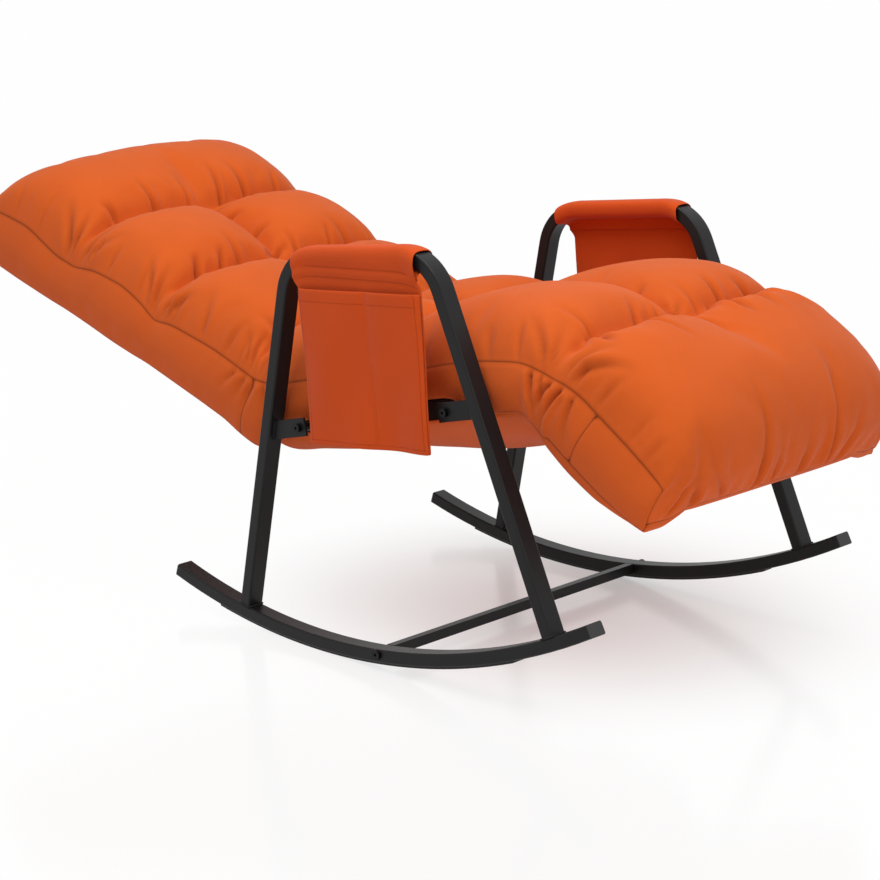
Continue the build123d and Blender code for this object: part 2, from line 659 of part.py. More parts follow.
foot_row = crowned_row(
    station(-CHEEK_RADIUS, PINCHED, -FOOT_UNDER_KNEE, FOOT_SEAM - PAD_PINCH, knee_tops),
    station(FOOT_LENGTH * FOOT_CREST, PAD_HALF, -FOOT_UNDER, FOOT_SEAM, one_column(FOOT_CROWN)),
    station(FOOT_LENGTH, PINCHED, -FOOT_UNDER_END, FOOT_SEAM - PAD_PINCH, one_column(FOOT_END)),
)
foot_room = channel(FOOT, (-CHEEK_RADIUS, FOOT_FRAME_LENGTH + PAD_GAP))
foot = filled_rows(FOOT, [foot_row], FOOT_UNDERCUT) - foot_room
foot &= half_space(FOOT[0], FOOT[1], KNEE_WEDGE, True)
foot &= half_space(FOOT[0], FOOT[1], -KNEE_UNDER, True)
knee_room = rod(*whole_width, FOOT[0], FOOT[1], 2 * (HINGE_GAP + PAD_GAP))
nodes["foot_pad"] = foot - knee_room
nodes["seat_pad"] -= knee_room

# Soft fold over the knee hinge, between the seat pad and the foot pad
knee_half = PINCHED - PAD_PINCH
knee_reach = 2 * KNEE_VALLEY
knee_low = HINGE_GAP + 2 * PAD_GAP
knee_frame = (FOOT[0], FOOT[1], 0)
knee_outline = pad_section(knee_frame, -knee_reach / 2, knee_half, knee_low, FOOT_SEAM, knee_tops, 0)
knee = extrude(knee_outline, knee_reach)
knee_gap = PAD_GAP / cos(radians(KNEE_WEDGE))
knee &= half_space(FOOT[0] - knee_gap, FOOT[1], -KNEE_WEDGE, True)
knee &= half_space(FOOT[0] + knee_gap, FOOT[1], KNEE_WEDGE, False)
nodes["knee_fold"] = knee


# Arm covers: a sleeve round the arm, a panel hung on its outer side and a pocket of two halves
def sleeve_core(grow):
    """Arm tube grown by an even amount."""
    return swept(hoop_path(), Rectangle(TUBE_WIDE + 2 * grow, TUBE_DEEP + 2 * grow))


sleeve = sleeve_core(SLEEVE_CLEARANCE + SLEEVE_CLOTH) - sleeve_core(SLEEVE_CLEARANCE)
sleeve &= Pos(0, HOOP_CENTRE, ARM_HEIGHT) * Box(2 * TUBE_WIDE, 2 * SLEEVE_HALF, 2 * BEND_RADIUS)
panel_out = OUTER_X + SLEEVE_CLEARANCE + SLEEVE_CLOTH
panel_foot = ARM_HEIGHT - PANEL_DROP
panel_yz = Pos(HOOP_CENTRE, ARM_HEIGHT - PANEL_DROP / 2) * Rectangle(2 * PANEL_HALF, PANEL_DROP)
cover = Pos(-FRAME_X, 0, 0) * sleeve + prism(-panel_out, PANEL_CLOTH - panel_out, panel_yz)


def pouch(y0, y1, low, thick):
    """Wedge between the panel and the pocket's front, wide at its open top."""
    top = panel_foot + POCKET_TALL
    foot_depth = POCKET_FOOT_DEPTH + thick
    corners = [
        (-panel_out, panel_foot + low),
        (-panel_out, top),
        (-panel_out - POCKET_DEPTH - thick, top),
        (-panel_out - foot_depth, panel_foot + low),
    ]
    outline = Polygon(*corners, align=None)
    return Plane(origin=(0, y1, 0), x_dir=(1, 0, 0), z_dir=(0, -1, 0)) * extrude(outline, y1 - y0)


pocket_y = (HOOP_CENTRE - PANEL_HALF, HOOP_CENTRE + POCKET_SPLIT, HOOP_CENTRE + PANEL_HALF)
pocket = pouch(pocket_y[0], pocket_y[2], 0, POCKET_CLOTH)
pocket -= pouch(pocket_y[0] + POCKET_SIDE, pocket_y[1] - POCKET_SIDE / 2, POCKET_SIDE, 0)
pocket -= pouch(pocket_y[1] + POCKET_SIDE / 2, pocket_y[2] - POCKET_SIDE, POCKET_SIDE, 0)
for name, sign in SIDES.items():
    nodes[f"arm_cover_{name}"] = mirrored(sign, cover)
    nodes[f"arm_pocket_{name}"] = mirrored(sign, pocket)


# Resting pose: rocked back about the rockers' arc, with the origin on the floor under the middle
def rocked(shape):
    """Shape turned about the centre of the rockers' arc."""
    return Pos(0, 0, ARC_CENTRE) * Rot(-ROCK_BACK, 0, 0) * Pos(0, 0, -ARC_CENTRE) * shape


resting = {name: rocked(shape) for name, shape in nodes.items()}
boxes = [shape.bounding_box() for shape in resting.values()]
plan_middle = (min(box.min.Y for box in boxes) + max(box.max.Y for box in boxes)) / 2
os.makedirs("parts", exist_ok=True)
for name, shape in resting.items():
    export_step(Pos(0, -plan_middle, 0) * shape, f"parts/{name}.step")
print("nodes", len(resting), "moved to the rear by", round(-plan_middle, 3))
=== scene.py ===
"""Outdoor rocking chair: cushions, arm covers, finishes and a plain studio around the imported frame."""

import json
from dataclasses import astuple, dataclass
from math import cos, log, pi, radians, sin, tan

import bmesh
import bpy
import numpy as np
from bpy.props import FloatProperty, FloatVectorProperty, IntProperty, PointerProperty
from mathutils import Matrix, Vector


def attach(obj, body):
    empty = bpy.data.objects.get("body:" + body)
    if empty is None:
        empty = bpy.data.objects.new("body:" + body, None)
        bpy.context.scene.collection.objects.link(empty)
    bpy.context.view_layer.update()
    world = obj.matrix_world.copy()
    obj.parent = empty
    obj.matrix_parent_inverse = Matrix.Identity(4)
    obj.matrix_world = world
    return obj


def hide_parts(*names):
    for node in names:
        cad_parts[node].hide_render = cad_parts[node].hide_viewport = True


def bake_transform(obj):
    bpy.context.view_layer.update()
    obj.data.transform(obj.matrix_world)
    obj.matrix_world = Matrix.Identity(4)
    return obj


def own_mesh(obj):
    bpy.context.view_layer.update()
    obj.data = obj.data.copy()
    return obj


bl_info = {
    "name": "Outdoor rocking chair",
    "version": (1, 0, 0),
    "blender": (4, 5, 0),
    "location": "3D View > Sidebar > Rocking chair",
    "description": "Cushions, arm covers, finishes and studio of an outdoor rocking chair",
    "category": "Object",
}

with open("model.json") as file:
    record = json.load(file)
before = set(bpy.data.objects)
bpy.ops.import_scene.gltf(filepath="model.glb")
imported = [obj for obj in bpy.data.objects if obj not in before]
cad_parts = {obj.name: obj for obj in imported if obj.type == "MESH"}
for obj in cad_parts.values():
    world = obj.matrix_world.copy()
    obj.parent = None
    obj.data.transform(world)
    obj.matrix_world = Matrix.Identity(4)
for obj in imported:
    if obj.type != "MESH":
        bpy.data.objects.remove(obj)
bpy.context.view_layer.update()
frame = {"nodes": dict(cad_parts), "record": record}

# The chair as drawn upright, in millimetres: front -Y, sitter's right -X, middle of the rockers at y = 0
ROCK_BACK = radians(7.3)
ARC_CENTRE = 1123.0
REAR_SHIFT = -102.44
HOOP_CENTRE = -28.5
SEAT_HEIGHT = 366.6
SEAT_RAKE = 6.7
BACK_PIVOT = (278.0, 330.6)
BACK_ANGLE = 25.0
FOOT_PIVOT = (-338.0, 403.0)
FOOT_ANGLE = 42.6
ARM_X = 295.0
ARM_HEIGHT = 607.0
ARM_STRAIGHT = 87.5
BEND_RADIUS = 75.0
SIDES = {"right": -1, "left": 1}
MILLIMETRES = 1000.0


def resting(points):
    """Points drawn upright in millimetres, as metres in the chair's resting pose."""
    points = np.asarray(points, float)
    y = points[..., 1]
    z = points[..., 2] - ARC_CENTRE
    turned_y = y * cos(ROCK_BACK) + z * sin(ROCK_BACK) + REAR_SHIFT
    turned_z = z * cos(ROCK_BACK) - y * sin(ROCK_BACK) + ARC_CENTRE
    return np.stack([points[..., 0], turned_y, turned_z], -1) / MILLIMETRES


def seat_point(y, up):
    """Side-view point above the seat rails' axis."""
    rake = radians(SEAT_RAKE)
    height = SEAT_HEIGHT - (y - HOOP_CENTRE) * tan(rake)
    return (y + up * sin(rake), height + up * cos(rake))


def back_point(along, up):
    """Side-view point above the back frame's axis, at a distance from its hinge."""
    turn = radians(BACK_ANGLE)
    y = BACK_PIVOT[0] + along * cos(turn) - up * sin(turn)
    return (y, BACK_PIVOT[1] + along * sin(turn) + up * cos(turn))


def foot_point(along, up):
    """Side-view point above the footrest frame's axis, at a distance from its hinge."""
    turn = radians(FOOT_ANGLE)
    y = FOOT_PIVOT[0] - along * cos(turn) - up * sin(turn)
    return (y, FOOT_PIVOT[1] - along * sin(turn) + up * cos(turn))


def smooth_step(value):
    """Even rise from 0 to 1."""
    t = np.clip(value, 0, 1)
    return t * t * (3 - 2 * t)


# Settings
class CushionSizes(bpy.types.PropertyGroup):
    half_width: FloatProperty(
        name="Half width", description="Half the cushion's width at its seams", default=0.266, unit="LENGTH"
    )
    back_crest: FloatProperty(
        name="Back crest",
        description="Height of the back rows above their side seam",
        default=0.11,
        unit="LENGTH",
    )
    head_crest: FloatProperty(
        name="Head crest",
        description="Height of the headrest above its side seam",
        default=0.121,
        unit="LENGTH",
    )
    seat_crest: FloatProperty(
        name="Seat crest",
        description="Height of the rear seat row above its side seam",
        default=0.11,
        unit="LENGTH",
    )
    knee_crest: FloatProperty(
        name="Knee crest",
        description="Height of the front seat row above its side seam",
        default=0.092,
        unit="LENGTH",
    )
    foot_crest: FloatProperty(
        name="Foot crest",
        description="Height of the footrest above its side seam",
        default=0.1,
        unit="LENGTH",
    )
    cell: FloatProperty(
        name="Cell", description="Size of the mesh cells that are simulated", default=0.0076, unit="LENGTH"
    )
    slack: FloatProperty(
        name="Slack",
        description="Share of spare cloth between the sewn lines",
        default=0.03,
        subtype="FACTOR",
    )
    gather: FloatProperty(
        name="Gather", description="Share of spare cloth at the sewn lines", default=0.16, subtype="FACTOR"
    )
    pressure: FloatProperty(name="Pressure", description="Push of the filling on the cloth", default=4.0)
    cap: FloatProperty(
        name="Cap", description="Furthest that the filling moves a point", default=0.026, unit="LENGTH"
    )
    steps: IntProperty(name="Steps", description="Frames of the cloth simulation", default=22)


class CoverSizes(bpy.types.PropertyGroup):
    cloth: FloatProperty(
        name="Cloth",
        description="Thickness of the cover's cloth",
        default=0.0016,
        unit="LENGTH",
    )
    drop: FloatProperty(
        name="Drop", description="From the arm's axis to the panel's foot", default=0.281, unit="LENGTH"
    )
    half_length: FloatProperty(
        name="Half length",
        description="Half the sleeve's length along the arm",
        default=0.126,
        unit="LENGTH",
    )
    pocket_tall: FloatProperty(
        name="Pocket",
        description="Height of the pocket",
        default=0.233,
        unit="LENGTH",
    )
    pocket_depth: FloatProperty(
        name="Pocket depth", description="How far the pocket stands open", default=0.008, unit="LENGTH"
    )
    stitch: FloatProperty(name="Stitch", description="Pitch of the stitches", default=0.0038, unit="LENGTH")


class Colours(bpy.types.PropertyGroup):
    cloth: FloatVectorProperty(
        name="Cloth",
        description="Orange of the woven cloth",
        default=(0.64, 0.109, 0.0148),
        size=3,
        subtype="COLOR",
    )
    # Darker copy of the cloth orange for the arm covers and pockets: painted shade on their hanging sides
    cover: FloatVectorProperty(
        name="Cover",
        description="Deeper orange of the arm covers",
        default=(0.615, 0.077, 0.0092),
        size=3,
        subtype="COLOR",
    )
    coating: FloatVectorProperty(
        name="Coating",
        description="Black of the coated tube",
        default=(0.008, 0.008, 0.0085),
        size=3,
        subtype="COLOR",
    )
    # Pink tint of the floor: painted bounce light from the orange cloth
    floor: FloatVectorProperty(
        name="Floor",
        description="Pale floor of the studio",
        default=(0.97, 0.865, 0.86),
        size=3,
        subtype="COLOR",
    )


class StudioSettings(bpy.types.PropertyGroup):
    key: FloatProperty(name="Key", description="Power of the large lamp above", default=67.0, unit="POWER")
    fill: FloatProperty(
        name="Fill",
        description="Power of the lamp at the front",
        default=16.0,
        unit="POWER",
    )
    air: FloatProperty(name="Air", description="Strength of the even light", default=0.375)
    lens: FloatProperty(
        name="Lens",
        description="Focal length on a 36 mm sensor",
        default=98.9,
        subtype="DISTANCE_CAMERA",
    )


class ChairSettings(bpy.types.PropertyGroup):
    cushion: PointerProperty(type=CushionSizes)
    cover: PointerProperty(type=CoverSizes)
    colours: PointerProperty(type=Colours)
    studio: PointerProperty(type=StudioSettings)


# Finishes
class Field:
    """A node's output that takes part in Python expressions."""

    def __init__(self, nodes, socket):
        self.nodes = nodes
        self.socket = socket

    def maths(self, operation, first, second):
        """Maths on two values, of which one is this one."""
        return self.nodes.node("ShaderNodeMath", {"operation": operation}, {0: first, 1: second})

    def __add__(self, other):
        return self.maths("ADD", self, other)

    def __radd__(self, other):
        return self.maths("ADD", other, self)

    def __mul__(self, other):
        return self.maths("MULTIPLY", self, other)

    def __rmul__(self, other):
        return self.maths("MULTIPLY", other, self)

    def __pow__(self, other):
        return self.maths("POWER", self, other)


# Radians that the bands turn through in a metre, at a scale of 1
WAVE_FACTOR = 20.0


class Nodes:
    """A node tree whose nodes are added one by one."""

    def __init__(self, tree):
        self.tree = tree

    def node(self, kind, settings=None, sockets=None, output=0):
        """One node: its settings first, then the values or links of its sockets."""
        made = self.tree.nodes.new(kind)
        for key, value in (settings or {}).items():
            setattr(made, key, value)
        for key, value in (sockets or {}).items():
            if isinstance(value, Field):
                self.tree.links.new(value.socket, made.inputs[key])
            else:
                made.inputs[key].default_value = value
        return Field(self, made.outputs[output]) if made.outputs else None


class Finish(Nodes):
    """A material, or the world, whose nodes are written as expressions."""

    def __init__(self, name, store=None):
        store = bpy.data.materials if store is None else store
        self.material = store.new(name)
        self.material.use_nodes = True
        super().__init__(self.material.node_tree)
        self.tree.nodes.clear()

    def mixed(self, factor, first, second):
        """Colour between two colours."""
        values = {0: factor, 6: first, 7: second}
        return self.node("ShaderNodeMix", {"data_type": "RGBA"}, values, output=2)

    def waves(self, place, direction, pitch):
        """Sine bands of one thread per pitch, from 0 to 1."""
        settings = {"wave_type": "BANDS", "bands_direction": direction, "wave_profile": "SIN"}
        sockets = {"Vector": place, "Scale": 2 * pi / (WAVE_FACTOR * pitch)}
        return self.node("ShaderNodeTexWave", settings, sockets)

    def own_place(self):
        """Places on a piece in its own coordinates."""
        return self.node("ShaderNodeTexCoord", output="Object")

    def noise(self, place, scale, detail=2.0):
        """Soft random spots."""
        sockets = {"Vector": place, "Scale": scale, "Detail": detail}
        return self.node("ShaderNodeTexNoise", None, sockets)

    def shade(self, sockets, height, distance, strength):
        """Main shader, with a bump."""
        bump = {"Height": height, "Distance": distance, "Strength": strength}
        normal = self.node("ShaderNodeBump", None, bump)
        shader = self.node("ShaderNodeBsdfPrincipled", None, {**sockets, "Normal": normal})
        self.node("ShaderNodeOutputMaterial", None, {"Surface": shader})
        return self.material


def scaled(colour, share):
    """A colour made lighter or darker, as four numbers."""
    return tuple(min(1.0, channel * share) for channel in colour) + (1.0,)


# Threads, spots to the metre, and heights of the bumps in metres
THREAD_PITCH = 0.0011
WEBBING_PITCH = 0.0022
SLUB_SCALE = 420.0
PATCH_SCALE = 9.0
POWDER_SCALE = 900.0
CLOUD_SCALE = 14.0
MARK_SCALE = 650.0
STAIN_SCALE = 40.0
SAND_SCALE = 1500.0
DUST_SCALE = 25.0
WEAVE_HEIGHT = 0.0004
POWDER_HEIGHT = 0.00012
MARK_HEIGHT = 0.00008
SAND_HEIGHT = 0.0001
RIB_HEIGHT = 0.0005

# How narrow and how dark the painted shade in the sewn seams and the creases is
SEAM_SHARPNESS = 12.0
SEAM_SHADE_SHARE = 0.8
CREASE_SHADE_SHARE = 0.6
SEAM_SHADE = 0.16
CREASE_SHADE = 0.3


def cloth_finish(name, colour, paint_seam_and_crease_shade):
    """Matte woven polyester, its threads along the piece's own map, with painted shade darkening its seams
    and creases.
    """
    finish = Finish(name)
    place = finish.node("ShaderNodeUVMap", {"uv_map": "cloth"})
    warp = finish.waves(place, "X", THREAD_PITCH)
    weft = finish.waves(place, "Y", THREAD_PITCH)
    slubs = finish.noise(place, SLUB_SCALE)
    patches = finish.noise(place, PATCH_SCALE, 3.0)
    weave = warp * 0.5 + weft * 0.5
    shade = (patches * 0.5 + weave * 0.2 + slubs * 0.3) ** 1.2
    tint = finish.mixed(shade, scaled(colour, 0.82), scaled(colour, 1.16))
    if paint_seam_and_crease_shade:
        # Painted shade: the colour is darkened along the creases and the sewn seams, where shade would fall
        sewn = finish.node("ShaderNodeAttribute", {"attribute_name": "sewn"}, output="Fac")
        crease = finish.node("ShaderNodeAttribute", {"attribute_name": "crease"}, output="Fac")
        tint = finish.mixed(crease * CREASE_SHADE_SHARE, tint, scaled(colour, CREASE_SHADE))
        tint = finish.mixed(sewn**SEAM_SHARPNESS * SEAM_SHADE_SHARE, tint, scaled(colour, SEAM_SHADE))
    sockets = {
        "Base Color": tint,
        "Roughness": 0.78 + slubs * 0.16,
        "Sheen Weight": 0.13,
        "Sheen Roughness": 0.45,
        "Specular IOR Level": 0.1,
    }
    return finish.shade(sockets, weave * 0.7 + slubs * 0.5, WEAVE_HEIGHT, 0.5)


def coated_finish(name, colour, rough):
    """Satin black coating with the fine texture of sprayed powder, faintly clouded."""
    finish = Finish(name)
    place = finish.own_place()
    grain = finish.noise(place, POWDER_SCALE)
    clouds = finish.noise(place, CLOUD_SCALE, 3.0)
    tint = finish.mixed(clouds, scaled(colour, 0.75), scaled(colour, 1.5))
    sockets = {
        "Base Color": tint,
        "Roughness": rough + grain * 0.08 + clouds * 0.06,
        "Specular IOR Level": 0.2,
    }
    return finish.shade(sockets, grain, POWDER_HEIGHT, 0.5)


def steel_finish(name, colour, rough):
    """Plated or blackened steel with fine turning marks."""
    finish = Finish(name)
    place = finish.own_place()
    marks = finish.noise(place, MARK_SCALE, 4.0)
    stains = finish.noise(place, STAIN_SCALE)
    tint = finish.mixed(stains, scaled(colour, 0.8), scaled(colour, 1.25))
    sockets = {"Base Color": tint, "Metallic": 1.0, "Roughness": rough + marks * 0.15}
    return finish.shade(sockets, marks, MARK_HEIGHT, 0.4)


def rubber_finish(name, colour, rough):
    """Matte rubber or moulded plastic with a sandy skin."""
    finish = Finish(name)
    place = finish.own_place()
    sand = finish.noise(place, SAND_SCALE)
    dust = finish.noise(place, DUST_SCALE, 3.0)
    tint = finish.mixed(dust, scaled(colour, 0.8), scaled(colour, 1.6))
    sockets = {"Base Color": tint, "Roughness": rough + sand * 0.1}
    return finish.shade(sockets, sand, SAND_HEIGHT, 0.5)


def webbing_finish(name, colour):
    """Coarse black strap webbing."""
    finish = Finish(name)
    place = finish.own_place()
    ribs = finish.waves(place, "Y", WEBBING_PITCH)
    threads = finish.waves(place, "X", WEBBING_PITCH)
    weave = ribs * threads
    tint = finish.mixed(weave, scaled(colour, 0.5), scaled(colour, 1.7))
    sockets = {"Base Color": tint, "Roughness": 0.85 + weave * 0.1}
    return finish.shade(sockets, weave, RIB_HEIGHT, 0.7)


# Meshes
def new_object(name, data):
    """New object, linked to the scene."""
    made = bpy.data.objects.new(name, data)
    bpy.context.scene.collection.objects.link(made)
    return made


def new_piece(name, points, faces, maps=None, edges=()):
    """Mesh piece at the origin, with its own cloth map where one is given."""
    mesh = bpy.data.meshes.new(name)
    mesh.from_pydata([tuple(point) for point in points], edges, faces)
    if maps is not None:
        layer = mesh.uv_layers.new(name="cloth")
        layer.data.foreach_set("uv", np.asarray(maps, np.float32).ravel())
    mesh.update()
    return new_object(name, mesh)


def grid_faces(number, us, vs):
    """Square faces through a grid of vertex numbers, and the cloth map at their corners."""
    faces, maps = [], []
    for i in range(number.shape[0] - 1):
        for j in range(number.shape[1] - 1):
            corners = ((i, j), (i + 1, j), (i + 1, j + 1), (i, j + 1))
            faces.append([int(number[corner]) for corner in corners])
            maps.extend((us[a], vs[b]) for a, b in corners)
    return faces, maps


def run_lengths(points):
    """Distance of each point of a line from its first point, along the line."""
    return np.concatenate([[0], np.cumsum(np.linalg.norm(np.diff(points, axis=0), axis=1))])


def mesh_points(mesh):
    """Vertex places of a mesh as an array."""
    flat = np.zeros(len(mesh.vertices) * 3, np.float32)
    mesh.vertices.foreach_get("co", flat)
    return flat.reshape(-1, 3).astype(float)


def set_mesh_points(mesh, points):
    """Moves a mesh's vertices to new places."""
    mesh.vertices.foreach_set("co", points.astype(np.float32).ravel())
    mesh.update()


def point_values(mesh, name):
    """Values of a point attribute as an array."""
    values = np.zeros(len(mesh.vertices), np.float32)
    mesh.attributes[name].data.foreach_get("value", values)
    return values.astype(float)


def set_point_values(mesh, name, values):
    """Adds a point attribute with these values."""
    layer = mesh.attributes.new(name, "FLOAT", "POINT")
    layer.data.foreach_set("value", values.astype(np.float32))


def face_outwards(mesh):
    """Turns the faces of a closed mesh outwards."""
    work = bmesh.new()
    work.from_mesh(mesh)
    bmesh.ops.recalc_face_normals(work, faces=work.faces)
    work.to_mesh(mesh)
    work.free()


def subdivided(piece):
    """One round of subdivision on a piece."""
    subdivision = piece.modifiers.new("smooth", "SUBSURF")
    subdivision.levels = subdivision.render_levels = 1
    return piece


def baked(piece):
    """Replaces a piece's mesh by what its modifiers give, and removes them."""
    graph = bpy.context.evaluated_depsgraph_get()
    mesh = bpy.data.meshes.new_from_object(piece.evaluated_get(graph), depsgraph=graph)
    piece.modifiers.clear()
    piece.data = mesh
    return piece


def finished(piece, material):
    """Smooth shading and one material on a piece."""
    piece.data.materials.clear()
    piece.data.materials.append(material)
    piece.data.shade_smooth()
    return piece


# Cushions
CUSHION_LAYERS = 9
CUSHION_LIP = 3.5
SIDE_BULGE = 5.0
ARCH_POWER = 2.4
FULLER_LEFT = 0.085
LEFT_LOBE = 0.45
SINGLE_POWER = 4.2
CORNER_LOBE = (235.0, 195.0)
SEAM_GROOVE = 0.0016
FILLED_FROM = 0.86
RIB_SMOOTHING = 3
TOP_SMOOTHING = 2
SIDE_SMOOTHING = 8
FRONT_SEAM_LAYER = 2
GATHER_REACH = 34.0
PLEAT_BEND = 0.3
PLEAT_WIDE = (3.6, 6.2)
# Pleat depth in millimetres at which a crease's painted shade is full
CREASE_SHADE_DEPTH = 9.0
KNEE_FOLDS = 1.5
EDGE_POWERS = (5, 0.6)
DIP_POWER = 8
BELLY_POWER = 12.0
END_POWER = 4
LIP_STRETCH = 2
PARTING = 2.0
BOXING_TALL = 0.08
SEWN_ACROSS = 0.86
SIDE_LOOSENESS = 0.7
FRONT_FADE = (0.4, 2)
SEAM_CORE = 0.98


def arch(place, power=ARCH_POWER):
    """Round rise from 0 at both ends of a sewn cell to 1 in its middle."""
    return np.clip(1 - np.abs(2 * place - 1) ** power, 0, 1) ** (1 / power)


@dataclass
class Rib:
    """Cross-section of a cushion: side-view points of its low edge and of its side seam, and its lean.

    dip moves the side seam up or down, belly hangs under the low edge, and lift raises that edge between
    the corners.
    """

    low: tuple
    seam: tuple
    lean: float
    dip: float = 0.0
    belly: float = 0.0
    lift: float = 0.0


class Cushion:
    """A quilted cushion: ribs along its length, sewn rows across it, drawn as the skin of a bent box."""

    def __init__(self, sizes, ribs, rows):
        self.half = sizes.half_width * MILLIMETRES
        self.rows = rows
        self.columns = 2 * round(self.half / (sizes.cell * MILLIMETRES))
        ribs = np.array([np.hstack(astuple(rib)) for rib in ribs])
        at = run_lengths(ribs[:, 2:4])
        stops = [at[row["from"]] for row in rows] + [at[rows[-1]["to"]]]
        places = [np.array([stops[0]])]
        self.lines = [0]
        for start, end in zip(stops, stops[1:]):
            count = round((end - start) / (sizes.cell * MILLIMETRES))
            places.append(np.linspace(start, end, count + 1)[1:])
            self.lines.append(self.lines[-1] + count)
        self.along = np.concatenate(places)
        self.count = len(self.along) - 1
        self.rib_places = [int(np.argmin(np.abs(self.along - place))) for place in at]
        values = np.stack([np.interp(self.along, at, column) for column in ribs.T], 1)
        for _ in range(RIB_SMOOTHING):
            values[1:-1] = (values[:-2] + 2 * values[1:-1] + values[2:]) / 4
        self.low = values[:, 0:2]
        self.seam = values[:, 2:4]
        self.lean = np.radians(values[:, 4])
        self.dip, self.belly, self.lift = values[:, 5], values[:, 6], values[:, 7]
        self.across = np.linspace(-1, 1, self.columns + 1)

    def heights(self, fullness):
        """Height of the top cloth above the side seam, for every rib and column."""
        result = np.zeros((self.count + 1, self.columns + 1))
        away = np.abs(self.across)
        edge = np.clip(1 - away ** EDGE_POWERS[0], 0, 1) ** EDGE_POWERS[1]
        for index, row in enumerate(self.rows):
            first = self.lines[index]
            last = self.lines[index + 1]
            t = np.linspace(0, 1, last - first + 1)
            low = row["low"][0] + (row["low"][1] - row["low"][0]) * t
            t = t ** (log(0.5) / log(row.get("crest_at", 0.5)))
            single = arch((self.across + 1) / 2, row.get("power", SINGLE_POWER))
            columns = arch(away) if row["columns"] == 2 else single
            parted = row.get("parted", 0.0) * (1 - smooth_step(PARTING * t))[:, None]
            columns = columns + parted * (np.minimum(arch(away), columns) - columns)
            columns = columns * (1 + FULLER_LEFT * self.across)
            rise = (row["crest"] - low)[:, None] * arch(t)[:, None] * columns
            result[first : last + 1] = low[:, None] * edge[None, :] + fullness * rise
        return result + self.dip[:, None] * away[None, :] ** DIP_POWER

    def positions(self, fullness, end_bulge):
        """Places of the box's skin in the upright drawing, indexed by rib, column and layer."""
        n, m, k = self.count, self.columns, CUSHION_LAYERS
        grid = np.full((n + 1, m + 1, k + 1, 3), np.nan)
        up = np.stack([np.sin(self.lean), np.cos(self.lean)], 1)
        height = self.heights(fullness)
        grid[:, :, k, 0] = self.across[None, :] * self.half
        grid[:, :, k, 1:] = self.seam[:, None, :] + height[:, :, None] * up[:, None, :]
        lip = self.half - CUSHION_LIP
        under = np.clip(self.across * (self.half + LIP_STRETCH), -lip, lip)
        under[0], under[-1] = -self.half, self.half
        inwards = (CORNER_LOBE[0] - np.abs(under)) / (CORNER_LOBE[0] - CORNER_LOBE[1])
        hang = self.belly[:, None] * arch((self.across + 1) / 2, BELLY_POWER)[None, :]
        lobe = np.where(under > 0, LEFT_LOBE, 1.0)
        raised = smooth_step(inwards) * lobe + np.where(under > 0, 1 - LEFT_LOBE, 0.0)
        hang = hang - self.lift[:, None] * raised[None, :]
        grid[:, :, 0, 0] = under[None, :]
        grid[:, :, 0, 1:] = self.low[:, None, :] - hang[:, :, None] * up[:, None, :]
        edge = self.seam + self.dip[:, None] * up
        for layer in range(1, k):
            share = layer / k
            for column in (0, m):
                out = self.half + SIDE_BULGE * sin(pi * share)
                grid[:, column, layer, 0] = np.sign(self.across[column]) * out
                grid[:, column, layer, 1:] = self.low + (edge - self.low) * share
            for rib, side in ((0, 0.0), (n, end_bulge)):
                inner = slice(1, m)
                low, top = grid[rib, inner, 0], grid[rib, inner, k]
                along = self.seam[rib] - self.seam[rib - 1 if rib else 1]
                along = along / np.linalg.norm(along)
                grid[rib, inner, layer] = low + (top - low) * share
                push = side * sin(pi * share) * (1 - self.across[inner] ** END_POWER)
                grid[rib, inner, layer, 1:] += push[:, None] * along[None, :]
        return grid

    def skin(self):
        """Vertex numbers of the box's skin, its faces and their cloth map."""
        n, m, k = self.count, self.columns, CUSHION_LAYERS
        shell = np.zeros((n + 1, m + 1, k + 1), bool)
        shell[[0, n]] = shell[:, [0, m]] = shell[:, :, [0, k]] = True
        number = np.full(shell.shape, -1)
        number[shell] = np.arange(shell.sum())
        along = self.along / MILLIMETRES
        wide = self.across * self.half / MILLIMETRES
        tall = np.linspace(0, BOXING_TALL, k + 1)
        sheets = [(number[:, :, layer], along, wide) for layer in (0, k)]
        sheets += [(number[:, column], along, tall) for column in (0, m)]
        sheets += [(number[rib], wide, tall) for rib in (0, n)]
        faces, maps = [], []
        for sheet in sheets:
            sheet_faces, sheet_maps = grid_faces(*sheet)
            faces += sheet_faces
            maps += sheet_maps
        return shell, number, faces, maps

    def channels(self):
        """Where the top cloth is sewn down: rows of points along and across the cushion."""
        held = np.zeros((self.count + 1, self.columns + 1), bool)
        held[self.lines[1:-1]] = np.abs(self.across) < SEWN_ACROSS
        for index, row in enumerate(self.rows):
            if row["columns"] == 2:
                held[self.lines[index] : self.lines[index + 1] + 1, self.columns // 2] = True
        return held

    def looseness(self):
        """Share of spare cloth on the top, falling off away from its sewn lines and side seams."""
        wide = self.across * self.half
        result = np.zeros((self.count + 1, self.columns + 1))
        for line in self.lines[1:-1]:
            away = np.abs(self.along - self.along[line])
            result = np.maximum(result, np.exp(-away / GATHER_REACH)[:, None])
        side = SIDE_LOOSENESS * np.exp((np.abs(wide) - self.half) / GATHER_REACH)
        return np.maximum(result, side[None, :])


@dataclass
class PleatRun:
    """Ranges for a run of pleats, in millimetres: from one to the next, their lengths and their depths."""

    spread: tuple
    length: tuple
    depth: tuple


